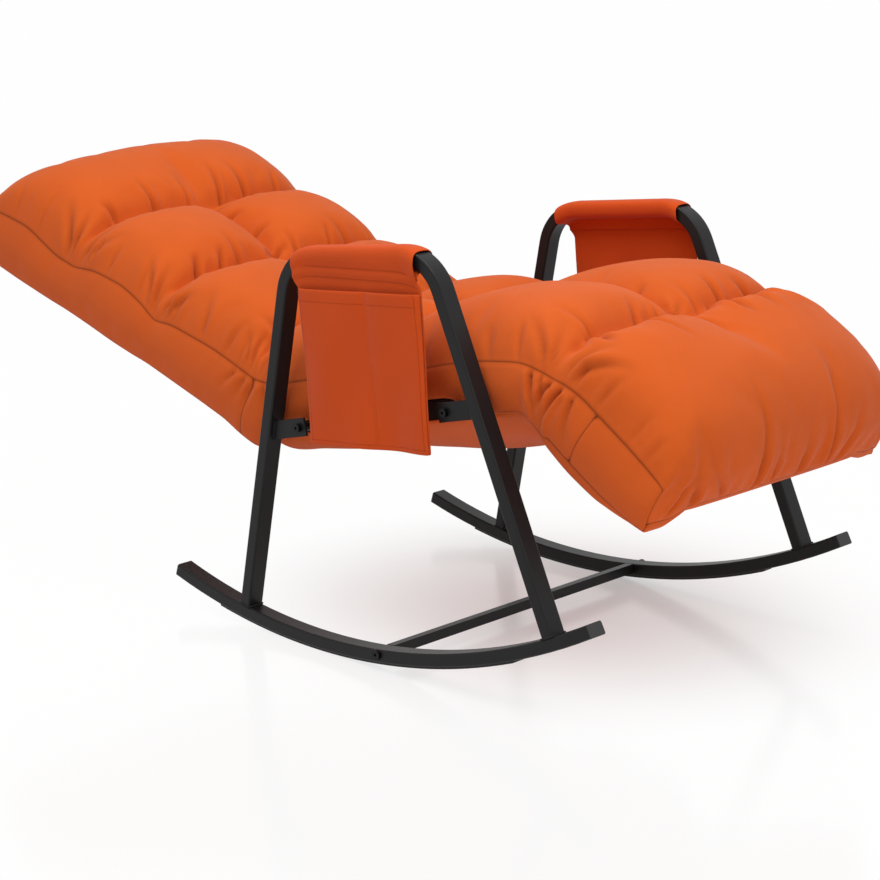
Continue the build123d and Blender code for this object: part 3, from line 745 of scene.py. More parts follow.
AFTER_LINE = PleatRun((38, 86), (36, 84), (6.0, 12.0))
BEFORE_LINE = PleatRun((44, 96), (28, 64), (5.0, 9.0))
FROM_SIDE = PleatRun((34, 86), (26, 62), (2.0, 5.5))
FROM_MIDDLE = PleatRun((36, 74), (24, 62), (5.0, 9.0))
FROM_FRONT = PleatRun((34, 88), (64, 170), (5.0, 10.0))
LINE_REACH = 0.84
CORNER_OUT = 0.97
CORNER_RADIUS = 34
CORNER_TURNS = (-0.9, -0.4, 0.45, 1.0)
CORNER_LONG = (40, 76)
CORNER_DEEP = (5.0, 9.0)
CORNER_WIDE = 5.5
BOXING_PLACES = (-44, -22, -4, 18, 40)
BOXING_BELOW = 3
BOXING_LONG = (44, 70)
BOXING_DEEP = (3.5, 6.5)
BOXING_WIDE = 5.0


def pleats(cushion, chance, front_seam):
    """Pleats that start at the sewn lines, in millimetres.

    Each is its place along and across, its direction, length, width and depth.
    """
    half = cushion.half
    inner = LINE_REACH * half
    ends = (cushion.along[0], cushion.along[-1])
    strength = KNEE_FOLDS if front_seam else 1.0
    found = []

    def run(kind, first, last, place, turns, deeper=1.0):
        depth = (kind.depth[0], kind.depth[1] * deeper)
        at = first + chance.uniform(*kind.spread) / 2
        while at < last:
            for turn in turns:
                bend = turn + chance.normal(0, PLEAT_BEND)
                width = chance.uniform(*PLEAT_WIDE)
                found.append((*place(at), bend, chance.uniform(*kind.length), width, chance.uniform(*depth)))
            at += chance.uniform(*kind.spread)

    for line in cushion.lines[1:-1]:
        at_line = cushion.along[line]
        run(AFTER_LINE, -inner, inner, lambda x: (at_line, x), (0.0,), strength)
        run(BEFORE_LINE, -inner, inner, lambda x: (at_line, x), (pi,), strength)
        for side in (-1, 1):
            for turn in CORNER_TURNS:
                start = (at_line + CORNER_RADIUS * sin(turn), side * CORNER_OUT * half)
                depth = chance.uniform(*CORNER_DEEP)
                bend = side * (turn - pi / 2)
                found.append((*start, bend, chance.uniform(*CORNER_LONG), CORNER_WIDE, depth))
    for side in (-1, 1):
        run(FROM_SIDE, *ends, lambda at: (at, side * half), (-side * pi / 2,))
        fold = cushion.along[cushion.lines[1]]
        for offset in BOXING_PLACES:
            depth = chance.uniform(*BOXING_DEEP) * strength
            bend = side * (pi / 2 + chance.normal(0, PLEAT_BEND))
            length = chance.uniform(*BOXING_LONG) * strength
            found.append((fold + offset, side * (half + BOXING_BELOW), bend, length, BOXING_WIDE, depth))
    for index, row in enumerate(cushion.rows):
        if row["columns"] == 2:
            first, last = cushion.along[cushion.lines[index]], cushion.along[cushion.lines[index + 1]]
            run(FROM_MIDDLE, first, last, lambda at: (at, 0.0), (pi / 2, -pi / 2))
    if front_seam:
        run(FROM_FRONT, -CORNER_OUT * half, CORNER_OUT * half, lambda x: (front_seam, x), (pi,))
    return found


# A pleat's crease fades along its length and widens, with ridges (height, place, width) on both sides of it
PLEAT_MARGIN = 20
FADE_POWER = 1.3
PLEAT_START = (8, 14)
PLEAT_SPREAD = (0.7, 0.9)
PLEAT_RIDGES = ((0.6, 2, 1.2), (0.25, -2.2, 1.5))


def pleated(along, across, found):
    """Height that the pleats add to the cloth, in millimetres, and the painted shade of their creases."""
    height = np.zeros_like(along)
    crease_shade = np.zeros_like(along)
    for index, (at, x, turn, length, width, depth) in enumerate(found):
        reach = length + PLEAT_MARGIN
        near = (np.abs(along - at) < reach) & (np.abs(across - x) < reach)
        forward = (along[near] - at) * cos(turn) + (across[near] - x) * sin(turn)
        aside = (across[near] - x) * cos(turn) - (along[near] - at) * sin(turn)
        aside = aside * (1 if index % 2 else -1)
        fade = np.clip(1 - forward / length, 0, 1) ** FADE_POWER
        fade = fade * smooth_step((forward + PLEAT_START[0]) / PLEAT_START[1])
        spread = width * (PLEAT_SPREAD[0] + PLEAT_SPREAD[1] * np.clip(forward / length, 0, 1))
        crease = np.exp(-((aside / spread) ** 2))
        ridge = 0
        for high, beside, wide in PLEAT_RIDGES:
            ridge = ridge + high * np.exp(-(((aside - beside * spread) / (wide * spread)) ** 2))
        height[near] += depth * fade * (ridge - crease)
        # Painted shade, darker in deeper and narrower creases
        crease_shade[near] = np.maximum(crease_shade[near], fade * crease**2 * depth / CREASE_SHADE_DEPTH)
    return height, np.minimum(crease_shade, 1)


CLOTH_VALUES = {
    "quality": 6,
    "mass": 0.3,
    "tension_stiffness": 18,
    "compression_stiffness": 12,
    "shear_stiffness": 6,
    "bending_stiffness": 0.12,
    "air_damping": 2,
    "vertex_group_mass": "pinned",
    "pin_stiffness": 1.0,
    "use_pressure": True,
    "vertex_group_shrink": "loose",
}
SHORTEST_MOVE = 1e-9


def puffed(piece, pins, loose, sizes):
    """Lets the filling push the cloth out between its pinned lines, and keeps the result."""
    before = mesh_points(piece.data)
    for name, weights in (("pinned", pins), ("loose", np.round(loose, 2))):
        group = piece.vertex_groups.new(name=name)
        for weight in np.unique(weights[weights > 0]):
            group.add([int(i) for i in np.flatnonzero(weights == weight)], float(weight), "REPLACE")
    cloth = piece.modifiers.new("filling", "CLOTH")
    settings = cloth.settings
    for key, value in CLOTH_VALUES.items():
        setattr(settings, key, value)
    settings.uniform_pressure_force = sizes.pressure
    settings.shrink_min = -sizes.slack
    settings.shrink_max = -sizes.gather
    settings.effector_weights.gravity = 0
    cloth.collision_settings.use_collision = False
    cloth.collision_settings.use_self_collision = False
    cloth.point_cache.frame_start = 1
    cloth.point_cache.frame_end = sizes.steps
    scene = bpy.context.scene
    for step in range(1, sizes.steps + 1):
        scene.frame_set(step)
    graph = bpy.context.evaluated_depsgraph_get()
    after = mesh_points(piece.evaluated_get(graph).data)
    piece.modifiers.remove(cloth)
    piece.vertex_groups.clear()
    scene.frame_set(1)
    moved = after - before
    length = np.linalg.norm(moved, axis=1, keepdims=True)
    share = np.minimum(1, sizes.cap / np.maximum(length, SHORTEST_MOVE))
    set_mesh_points(piece.data, before + moved * share)


def smooth_sheet(points, sheet, pinned, rounds):
    """Evens out a grid of numbered points in place, all but its rim and its pinned points."""
    free = (pinned[1:-1, 1:-1] == 0)[:, :, None]
    for _ in range(rounds):
        cloth = points[sheet]
        around = (cloth[:-2, 1:-1] + cloth[2:, 1:-1] + cloth[1:-1, :-2] + cloth[1:-1, 2:]) / 4
        points[sheet[1:-1, 1:-1]] = np.where(free, (cloth[1:-1, 1:-1] + around) / 2, cloth[1:-1, 1:-1])


def seam_fields(cushion, shape):
    """Over a cushion's box: where it is sewn, where it is pinned, and its share of spare cloth."""
    n, m, k = cushion.count, cushion.columns, CUSHION_LAYERS
    sewn = np.zeros((n + 1, m + 1, k + 1))
    sewn[:, [0, m], k] = 1
    sewn[:, [0, m], 0] = 1
    sewn[n, [0, m], :] = 1
    if shape["end_seam"]:
        sewn[n, :, [0, k]] = 1
    else:
        sewn[n, :, FRONT_SEAM_LAYER] = 1
    pins = sewn.copy()
    pins[:, :, 0] = 1
    pins[0] = 1
    pins[:, :, k] = np.maximum(pins[:, :, k], cushion.channels())
    for rib in shape["boxing_seams"]:
        sewn[cushion.rib_places[rib], [0, m], :] = 1
    loose = np.zeros_like(sewn)
    loose[:, :, k] = cushion.looseness()
    return sewn, pins, loose


def cloth_fields(cushion, shape, grid):
    """Over a cushion's box: how freely the cloth folds, its ways along and across, and its front seam."""
    n, m, k = cushion.count, cushion.columns, CUSHION_LAYERS
    top = np.zeros(grid.shape[:3])
    top[:, 1:m, k] = 1
    top[1:n, 0, 1:k] = top[1:n, m, 1:k] = 1
    along = np.broadcast_to(cushion.along[:, None, None], top.shape).copy()
    across = np.broadcast_to(cushion.across[None, :, None] * cushion.half, top.shape).copy()
    for column, side in ((0, -1), (m, 1)):
        down = np.linalg.norm(grid[:, column, k:] - grid[:, column, :], axis=-1)
        across[:, column, :] += side * down
    front_seam = None
    if not shape["end_seam"]:
        above = np.arange(1, k) - FRONT_SEAM_LAYER
        top[n, 1:m, 1:k] = smooth_step((above + FRONT_FADE[0]) / FRONT_FADE[1])
        along[n] += np.linalg.norm(grid[n, :, k:] - grid[n], axis=-1)
        front_seam = along[n, m // 2, FRONT_SEAM_LAYER]
    return top, along, across, front_seam


def evened(piece, number, pins):
    """Evens out the top and the two sides of a filled cushion."""
    points = mesh_points(piece.data)
    smooth_sheet(points, number[:, :, -1], pins[:, :, -1], TOP_SMOOTHING)
    for column in (0, -1):
        smooth_sheet(points, number[:, column], pins[:, column], SIDE_SMOOTHING)
    set_mesh_points(piece.data, points)


def creased(mesh, found):
    """Moves a cushion's cloth along its normals: pleats where it is free, grooves along its seams; keeps the
    painted shade of the creases.
    """
    normals = np.zeros(len(mesh.vertices) * 3, np.float32)
    mesh.vertices.foreach_get("normal", normals)
    raised, crease_shade = pleated(point_values(mesh, "along"), point_values(mesh, "across"), found)
    free = point_values(mesh, "top")
    groove = SEAM_GROOVE * (point_values(mesh, "sewn") > SEAM_CORE)
    raised = raised * free / MILLIMETRES - groove
    set_mesh_points(mesh, mesh_points(mesh) + raised[:, None] * normals.reshape(-1, 3))
    # Painted shade of the pleats' creases, for the cloth's finish
    set_point_values(mesh, "crease", crease_shade * free)
    for field in ("top", "along", "across"):
        mesh.attributes.remove(mesh.attributes[field])


def quilted(name, cushion, sizes, shape):
    """One cushion piece: drawn, filled, smoothed, then pleated and grooved along its seams."""
    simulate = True
    fullness = FILLED_FROM if simulate else 1.0
    grid = cushion.positions(fullness, shape["end_bulge"])
    shell, number, faces, maps = cushion.skin()
    piece = new_piece(name, resting(grid[shell]), faces, maps)
    face_outwards(piece.data)
    sewn, pins, loose = seam_fields(cushion, shape)
    top, along, across, front_seam = cloth_fields(cushion, shape, grid)
    fields = {"sewn": sewn, "top": top, "along": along, "across": across}
    for field, values in fields.items():
        set_point_values(piece.data, field, values[shell])
    if simulate:
        puffed(piece, pins[shell], loose[shell], sizes)
        evened(piece, number, pins)
    baked(subdivided(piece))
    creased(piece.data, pleats(cushion, np.random.RandomState(shape["seed"]), front_seam))
    return piece


def cushion_material(context):
    """The woven cloth, made once."""
    found = bpy.data.materials.get("cushion cloth")
    return found or cloth_finish("cushion cloth", context.scene.rocking_chair.colours.cloth, True)


# Ribs of the back: place along it, low edge and dip of the side seam
BACK_RIBS = (
    (120, -13, 14),
    (224, -13, 6),
    (261, -13, -5),
    (300, -16, 8),
    (350, -18, 15),
    (421, -18, 8),
    (471, -19, -8),
    (520, -22, -12),
    (604, -25, 4),
)
BACK_SEAM = 66
HEAD_END = 716
HEAD_END_LOW = -26
HEAD_END_SEAM = 62
VALLEY = 54
HEAD_VALLEY = 56
HEAD_EDGE = 2
KNEE_VALLEY = 38
FOOT_EDGE = 26
HEAD_BULGE = 8.0
FOOT_BULGE = 16.0

# Where the bends at the hinges start and end
RECLINE_BEND = (seat_point(190, 60), back_point(170, 60))
KNEE_BEND = (seat_point(-285, 40), foot_point(75, 40))


class CHAIR_OT_rear_cushion(bpy.types.Operator):
    """Headrest, back rows and rear seat row, in one piece drawn round the recline hinge"""

    bl_idname = "chair.rear_cushion"
    bl_label = "Rear cushion"

    def execute(self, context):
        sizes = context.scene.rocking_chair.cushion
        ribs = [
            Rib(seat_point(10, 17), seat_point(10, 53), SEAT_RAKE),
            Rib(seat_point(110, 17), seat_point(110, 57), SEAT_RAKE, dip=6),
            Rib(seat_point(175, -10), seat_point(175, 57), SEAT_RAKE, dip=6),
            Rib((262, 299), seat_point(225, 60), 0.0, dip=6),
            Rib((308, 322), (262, 404), -8.0, dip=6),
            Rib(back_point(62, -14), back_point(45, BACK_SEAM), -22.0, dip=13),
        ]
        for along, low, dip in BACK_RIBS:
            ribs.append(Rib(back_point(along, low), back_point(along, BACK_SEAM), -BACK_ANGLE, dip=dip))
        end = (back_point(HEAD_END, HEAD_END_LOW), back_point(HEAD_END, HEAD_END_SEAM))
        ribs.append(Rib(*end, -BACK_ANGLE, dip=-2))
        back = sizes.back_crest * MILLIMETRES
        head = sizes.head_crest * MILLIMETRES
        seat = sizes.seat_crest * MILLIMETRES
        rows = [
            {"from": 0, "to": 4, "low": (VALLEY, VALLEY), "crest": seat, "columns": 2},
            {"from": 4, "to": 8, "low": (VALLEY, VALLEY), "crest": back, "columns": 2},
            {"from": 8, "to": 12, "low": (VALLEY, HEAD_VALLEY), "crest": back, "columns": 2},
            {"from": 12, "to": 15, "low": (HEAD_VALLEY, HEAD_EDGE), "crest": head, "columns": 1},
        ]
        rows[1]["crest_at"] = 0.55
        rows[3].update({"crest_at": 0.45, "power": 3.0, "parted": 0.4})
        cushion = Cushion(sizes, ribs, rows)
        shape = {"end_bulge": HEAD_BULGE, "end_seam": True, "boxing_seams": [4], "seed": 7}
        piece = quilted("cushion_rear", cushion, sizes, shape)
        finished(piece, cushion_material(context))
        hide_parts("back_pad", "lumbar_pad")
        start, end = resting([(0, *point) for point in RECLINE_BEND])
        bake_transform(piece)
        return {"FINISHED"}


class CHAIR_OT_front_cushion(bpy.types.Operator):
    """Front seat row and footrest, in one piece drawn round the knee hinge"""

    bl_idname = "chair.front_cushion"
    bl_label = "Front cushion"

    def execute(self, context):
        sizes = context.scene.rocking_chair.cushion
        ribs = [
            Rib(seat_point(10, 17), seat_point(10, 53), SEAT_RAKE),
            Rib(seat_point(-150, 17), seat_point(-150, 58), SEAT_RAKE, dip=4),
            Rib(seat_point(-215, -12), seat_point(-225, 57), SEAT_RAKE, dip=4),
            Rib(seat_point(-285, -14), seat_point(-300, 50), 0.0, dip=2, belly=4),
            Rib((-326, 347), (-354, 433), -20.0, dip=-3, belly=14),
            Rib(foot_point(30, -43), foot_point(38, 40), -38.0, belly=22),
            Rib(foot_point(80, -43), foot_point(74, 40), -40.0, belly=24),
            Rib(foot_point(140, -41), foot_point(130, 42), -FOOT_ANGLE, belly=20),
            Rib(foot_point(180, -38), foot_point(175, 43), -FOOT_ANGLE, belly=10, lift=8),
            Rib(foot_point(231, -28), foot_point(219, 43), -FOOT_ANGLE, lift=25),
        ]
        knee = sizes.knee_crest * MILLIMETRES
        foot = sizes.foot_crest * MILLIMETRES
        rows = [
            {"from": 0, "to": 4, "low": (VALLEY, KNEE_VALLEY), "crest": knee, "columns": 2},
            {"from": 4, "to": 9, "low": (KNEE_VALLEY, FOOT_EDGE), "crest": foot, "columns": 1},
        ]
        rows[0]["crest_at"] = 0.65
        rows[1].update({"crest_at": 0.42, "parted": 0.7})
        cushion = Cushion(sizes, ribs, rows)
        shape = {"end_bulge": FOOT_BULGE, "end_seam": False, "boxing_seams": [6], "seed": 12}
        piece = quilted("cushion_front", cushion, sizes, shape)
        finished(piece, cushion_material(context))
        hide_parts("seat_pad", "foot_pad", "knee_fold")
        start, end = resting([(0, *point) for point in KNEE_BEND])
        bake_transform(piece)
        return {"FINISHED"}


# Cloth sheets
def sheet_piece(name, grid, cloth, material):
    """Sheet of cloth through a grid of points in the resting pose, with its thickness."""
    n, m = grid.shape[:2]
    number = np.arange(n * m).reshape(n, m)
    faces, maps = grid_faces(number, run_lengths(grid[:, m // 2]), run_lengths(grid[n // 2]))
    piece = new_piece(name, grid.reshape(-1, 3), faces, maps)
    wall = piece.modifiers.new("cloth", "SOLIDIFY")
    wall.thickness = cloth
    wall.offset = 0
    return finished(subdivided(piece), material)


def cover_material(context):
    """The covers' cloth, made once, in the darker orange that paints the shade on their hanging sides."""
    found = bpy.data.materials.get("cover cloth")
    return found or cloth_finish("cover cloth", context.scene.rocking_chair.colours.cover, False)


SLEEVE_WRAP = [
    (14.6, 36), (14.5, 25), (12.0, 16.0), (0, 13.4), (-12, 13.2), (-17.0, 9), (-18.2, 0), (-17.2, -9),
    (-11, -12.6), (0, -13.0), (11, -12.8), (17.4, -9.0),
]
SLEEVE_SEAMS = (18.9, 33.9)
SLEEVE_SKEW = 0.05
FACE_DROPS = (0, 10, 19, 26, 34, 46, 60)
FACE_OUTS = (19.8, 19.2, 16.9, 18.3, 16.7, 17.6, 17.2)
SLEEVE_STEP = 4
SLEEVE_FOOT = 52
PANEL_ROWS = 26
COVER_COLUMNS = 49
END_FLARE = 0.14
FLARE_LONG = 30
FLARE_DROP = (42, 24)
PANEL_LEAN = 8.0
PANEL_TOP = 36.0
PANEL_EASE = 12
LEAN_SHARE = 1.15
LEAN_FADE = 300
PANEL_SKEW = 0.02
SKEW_DROP = 250
BEND_LIMIT = 0.95

# Waves of the hanging cloth: height, length along the arm, slant down the panel and share of the phase
PANEL_WAVES = ((2.2, 31, np.inf, 1), (1.6, 17, -60, 2), (1.4, 23, 45, 3))
WAVE_PHASES = {-1: 0.7, 1: 2.1}
WAVE_TOP = 40
WAVE_GROWTH = 160


def arm_drop(y):
    """How far the arm's axis has dropped where the tube bends into the legs."""
    past = np.clip((np.abs(y - HOOP_CENTRE) - ARM_STRAIGHT) / BEND_RADIUS, 0, BEND_LIMIT)
    return BEND_RADIUS * (1 - np.sqrt(1 - past**2))


def panel_wave(y, drop, side):
    """Gentle waves of the hanging panel, growing towards its foot."""
    wave = 0
    for high, long, slant, share in PANEL_WAVES:
        wave = wave + high * np.sin(y / long + drop / slant + share * WAVE_PHASES[side])
    return smooth_step((drop - WAVE_TOP) / WAVE_GROWTH) * wave


def panel_face(y, drop, side):
    """How far the cover's outer face stands out from the arm's axis, drawn in at the sleeve's seams."""
    skewed = drop + SLEEVE_SKEW * (y - HOOP_CENTRE)
    return np.interp(skewed, FACE_DROPS, FACE_OUTS) + panel_wave(y, drop, side)


def covered(out, y, drop, side):
    """Point of an arm cover: distance outwards from the arm's axis, place along it and drop below it."""
    hung = smooth_step((drop - PANEL_TOP) / PANEL_EASE) * (LEAN_SHARE - drop / LEAN_FADE)
    skewed = drop - PANEL_SKEW * (y - HOOP_CENTRE) * smooth_step(drop / SKEW_DROP)
    return np.stack([side * (ARM_X + out), y - PANEL_LEAN * hung, ARM_HEIGHT - skewed], -1)


class CHAIR_OT_arm_covers(bpy.types.Operator):
    """Cloth sleeves round the arms, with the panels that hang from them"""

    bl_idname = "chair.arm_covers"
    bl_label = "Arm covers"

    def execute(self, context):
        sizes = context.scene.rocking_chair.cover
        foot = sizes.drop * MILLIMETRES
        sleeve = np.arange(0, SLEEVE_FOOT, SLEEVE_STEP)
        drops = np.concatenate([sleeve, np.linspace(SLEEVE_FOOT + SLEEVE_STEP, foot, PANEL_ROWS)])
        line = np.array(SLEEVE_WRAP + [(FACE_OUTS[-1], drop) for drop in drops])
        wrapped = len(SLEEVE_WRAP)
        half = sizes.half_length * MILLIMETRES
        for name, side in SIDES.items():
            y = np.linspace(HOOP_CENTRE - half, HOOP_CENTRE + half, COVER_COLUMNS)
            y = y + np.zeros((len(line), 1))
            out = line[:, :1] + np.zeros_like(y)
            drop = line[:, 1:] + np.zeros_like(y)
            out[wrapped:] = panel_face(y[wrapped:], drop[wrapped:], side)
            near = smooth_step((FLARE_DROP[0] - drop) / FLARE_DROP[1])
            flare = smooth_step((np.abs(y - HOOP_CENTRE) - half + FLARE_LONG) / FLARE_LONG) * near
            out = out * (1 + END_FLARE * flare)
            drop = drop * (1 + END_FLARE * flare * (drop < 0)) + arm_drop(y) * near
            grid = resting(covered(out, y, drop, side))
            piece = sheet_piece(f"arm_cover_cloth_{name}", grid, sizes.cloth, cover_material(context))
            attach(piece, "frame")
            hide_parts(f"arm_cover_{name}")
        return {"FINISHED"}


POCKET_SPLIT = -18.0
POCKET_HALF = 124.0
POCKET_ROUND = 3.0
POCKET_OPENING = 1.3
POCKET_OUT = 19.1
POCKET_CLOTH = 1.2
POCKET_SLOPE = 0.03
POCKET_ROWS = 33
HEM = 17.0

# Rows of the turned hem: how far below the pocket's edge and how far behind its face
HEM_ROWS = ((-0.6, 1.0), (0.6, 2.0), (4, 2.2), (8, 2.2), (12, 2.2), (HEM, 2.2))


def pocket_out(y, up, side, sizes):
    """How far the pocket's cloth stands out from the arm's axis."""
    foot = sizes.drop * MILLIMETRES
    tall = sizes.pocket_tall * MILLIMETRES
    split = HOOP_CENTRE + POCKET_SPLIT
    front = arch((y - HOOP_CENTRE + POCKET_HALF) / (POCKET_HALF + POCKET_SPLIT), POCKET_ROUND)
    rear = arch((y - split) / (POCKET_HALF - POCKET_SPLIT), POCKET_ROUND)
    depth = POCKET_CLOTH + sizes.pocket_depth * MILLIMETRES * (up / tall) ** POCKET_OPENING
    base = POCKET_OUT + panel_wave(y, foot - up, side)
    return base + depth * np.where(y < split, front, rear)


def pocket_top(y, sizes):
    """Height of the pocket's slanting top edge above the panel's foot."""
    return sizes.pocket_tall * MILLIMETRES - POCKET_SLOPE * (POCKET_HALF - y + HOOP_CENTRE)


class CHAIR_OT_arm_pockets(bpy.types.Operator):
    """Pockets of two halves on the arm covers' panels"""

    bl_idname = "chair.arm_pockets"
    bl_label = "Arm pockets"

    def execute(self, context):
        sizes = context.scene.rocking_chair.cover
        foot = sizes.drop * MILLIMETRES
        tall = sizes.pocket_tall * MILLIMETRES
        for name, side in SIDES.items():
            y = np.linspace(HOOP_CENTRE - POCKET_HALF, HOOP_CENTRE + POCKET_HALF, COVER_COLUMNS)[None, :]
            rows = np.concatenate([np.linspace(0, 1, POCKET_ROWS), np.ones(len(HEM_ROWS))])[:, None]
            hem = np.concatenate([np.zeros((POCKET_ROWS, 2)), HEM_ROWS])
            folded, fold = hem[:, :1], hem[:, 1:]
            up = rows * pocket_top(y, sizes) - folded
            y = y + np.zeros_like(up)
            out = pocket_out(y, np.minimum(up, tall), side, sizes) - fold
            grid = resting(covered(out, y, foot - up, side))
            piece = sheet_piece(f"pocket_cloth_{name}", grid, sizes.cloth, cover_material(context))
            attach(piece, "frame")
            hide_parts(f"arm_pocket_{name}")
        return {"FINISHED"}


# Beads along paths
BEAD_BALL = {"Segments": 6, "Rings": 4, "Radius": 0.5}


def bead_tree():
    """Node group that strings beads along edges: stitches of thread, or the ripples of a weld."""
    tree = bpy.data.node_groups.new("beads along edges", "GeometryNodeTree")
    kinds = {
        "Edges": "Geometry",
        "Pitch": "Float",
        "Length": "Float",
        "Thickness": "Float",
        "Evenness": "Float",
        "Seed": "Int",
        "Material": "Material",
    }
    for name, kind in kinds.items():
        tree.interface.new_socket(name, in_out="INPUT", socket_type=f"NodeSocket{kind}")
    tree.interface.new_socket("Beads", in_out="OUTPUT", socket_type="NodeSocketGeometry")

    nodes = Nodes(tree)
    sockets = tree.nodes.new("NodeGroupInput").outputs
    given = {name: Field(nodes, sockets[name]) for name in kinds}
    path = nodes.node("GeometryNodeMeshToCurve", None, {"Mesh": given["Edges"]})
    spaced = {"Curve": path, "Length": given["Pitch"]}
    points = nodes.node("GeometryNodeResampleCurve", {"mode": "LENGTH"}, spaced)
    tangent = nodes.node("GeometryNodeInputTangent")
    turned = nodes.node("FunctionNodeAlignRotationToVector", {"axis": "X"}, {"Vector": tangent})
    bead = nodes.node("GeometryNodeMeshUVSphere", None, BEAD_BALL)
    limits = {2: given["Evenness"], "Seed": given["Seed"]}
    chance = nodes.node("FunctionNodeRandomValue", None, limits, output=1)
    sides = {0: given["Length"], 1: given["Thickness"], 2: given["Thickness"]}
    size = nodes.node("ShaderNodeCombineXYZ", None, sides)
    sized = nodes.node("ShaderNodeVectorMath", {"operation": "SCALE"}, {0: size, "Scale": chance})
    strung = {"Points": points, "Instance": bead, "Rotation": turned, "Scale": sized}
    placed = nodes.node("GeometryNodeInstanceOnPoints", None, strung)
    real = nodes.node("GeometryNodeRealizeInstances", None, {"Geometry": placed})
    dressing = {"Geometry": real, "Material": given["Material"]}
    dressed = nodes.node("GeometryNodeSetMaterial", None, dressing)
    nodes.node("NodeGroupOutput", None, {"Beads": dressed})
    return tree


def beaded(name, paths, values):
    """Piece of beads along paths drawn upright, each path an array of points."""
    counts = [len(path) for path in paths]
    starts = np.cumsum([0] + counts[:-1])
    edges = [(int(at + i), int(at + i + 1)) for at, count in zip(starts, counts) for i in range(count - 1)]
    piece = new_piece(name, resting(np.concatenate(paths)), [], edges=edges)
    beads = piece.modifiers.new("beads", "NODES")
    beads.node_group = bpy.data.node_groups.get("beads along edges") or bead_tree()
    for item in beads.node_group.interface.items_tree:
        if item.in_out == "INPUT" and item.name in values:
            beads[item.identifier] = values[item.name]
    baked(piece)
    piece.data.shade_smooth()
    return piece


STITCH_INSET = 7.0
STITCH_VALUES = {"Length": 0.0031, "Thickness": 0.0009, "Evenness": 0.85, "Seed": 3}
STITCH_POINTS = 60
STITCH_LIFT = 0.8
SEAM_STITCH_LIFT = 1.6
SPLIT_GAP = 2
TOP_GAP = 1
THREAD_SHADE = 0.5


class CHAIR_OT_stitches(bpy.types.Operator):
    """Rows of stitches on the sleeves, panels and pockets"""

    bl_idname = "chair.stitches"
    bl_label = "Stitches"

    def execute(self, context):
        settings = context.scene.rocking_chair
        sizes = settings.cover
        foot = sizes.drop * MILLIMETRES
        colour = tuple(THREAD_SHADE * channel for channel in settings.colours.cover)
        thread = cloth_finish("thread", colour, False)
        values = {"Pitch": sizes.stitch, "Material": thread, **STITCH_VALUES}
        wide = POCKET_HALF - STITCH_INSET
        along = HOOP_CENTRE + np.linspace(-wide, wide, STITCH_POINTS)
        split = HOOP_CENTRE + POCKET_SPLIT
        for name, side in SIDES.items():
            paths = []
            for seam in SLEEVE_SEAMS:
                drop = seam - SLEEVE_SKEW * (along - HOOP_CENTRE)
                out = panel_face(along, drop, side) + SEAM_STITCH_LIFT
                paths.append(covered(out, along, drop + arm_drop(along), side))
            levels = [np.full_like(along, STITCH_INSET), pocket_top(along, sizes) - HEM]
            for up in levels:
                out = pocket_out(along, up, side, sizes) + STITCH_LIFT
                paths.append(covered(out, along, foot - up, side))
            for y in (along[0], split - SPLIT_GAP, split + SPLIT_GAP, along[-1]):
                up = np.linspace(STITCH_INSET, float(pocket_top(y, sizes)) - TOP_GAP, STITCH_POINTS)
                line = np.full_like(up, y)
                out = pocket_out(line, up, side, sizes) + STITCH_LIFT
                paths.append(covered(out, line, foot - up, side))
            piece = beaded(f"stitches_{name}", paths, values)
            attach(piece, "frame")
        return {"FINISHED"}


LEG_LEAN = radians(17.6)
LEG_SPREAD = 334.9
TUBE_HALF = (15.0, 10.0)
ROCKER_TOP = 1100.0
TAB_FACES = (295.6, 300.4)
TAB_TALL = 28.0
TAB_WELD = 0.46
TAB_POINTS = 12
LEG_START = 60.0
LEG_ROUNDS = 8
LEG_POINTS = 6
LEG_OUTLINE = ((-1, 0), (1, 0), (1, 1), (-1, 1), (-1, 0))
LEG_WELD_LIFT = 0.6
TAB_WELD_LIFT = 0.5
WELD_VALUES = {"Pitch": 0.0022, "Length": 0.0034, "Thickness": 0.0042, "Evenness": 0.7, "Seed": 5}


def leg_y(z, side, offset):
    """Place along the chair of a leg's face, at a height and at an offset inwards from its axis."""
    reach = LEG_SPREAD - z * tan(LEG_LEAN) - offset / cos(LEG_LEAN)
    return HOOP_CENTRE + side * reach


def rocker_z(y):
    """Height of a rocker's upper face."""
    return ARC_CENTRE - np.sqrt(ROCKER_TOP**2 - y**2)


class CHAIR_OT_welds(bpy.types.Operator):
    """Weld beads where the legs stand on the rockers and where the tabs meet the legs"""

    bl_idname = "chair.welds"
    bl_label = "Weld beads"

    def execute(self, context):
        paths = []
        for side in (-1, 1):
            corners = []
            for offset in (-TUBE_HALF[1], TUBE_HALF[1]):
                z = LEG_START
                for _ in range(LEG_ROUNDS):
                    z = float(rocker_z(leg_y(z, side, offset)))
                corners.append(leg_y(z, side, offset))
            x, y = [], []
            for start, end in zip(LEG_OUTLINE, LEG_OUTLINE[1:]):
                x.append(np.linspace(start[0], end[0], LEG_POINTS) * TUBE_HALF[0])
                y.append(np.linspace(corners[start[1]], corners[end[1]], LEG_POINTS))
            x, y = np.concatenate(x), np.concatenate(y)
            for sign in (-1, 1):
                paths.append(np.stack([sign * ARM_X + x, y, rocker_z(y) + LEG_WELD_LIFT], -1))
            inside = leg_y(SEAT_HEIGHT, side, TUBE_HALF[1])
            z = SEAT_HEIGHT - (inside - HOOP_CENTRE) * tan(radians(SEAT_RAKE))
            z = z + np.linspace(-TAB_WELD, TAB_WELD, TAB_POINTS) * TAB_TALL
            y = leg_y(z, side, TUBE_HALF[1] + TAB_WELD_LIFT)
            for face in (*TAB_FACES, *(-face for face in TAB_FACES)):
                paths.append(np.stack([np.full_like(z, face), y, z], -1))
        values = {**WELD_VALUES, "Material": bpy.data.materials["black coating"]}
        piece = beaded("weld_beads", paths, values)
        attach(piece, "frame")
        return {"FINISHED"}


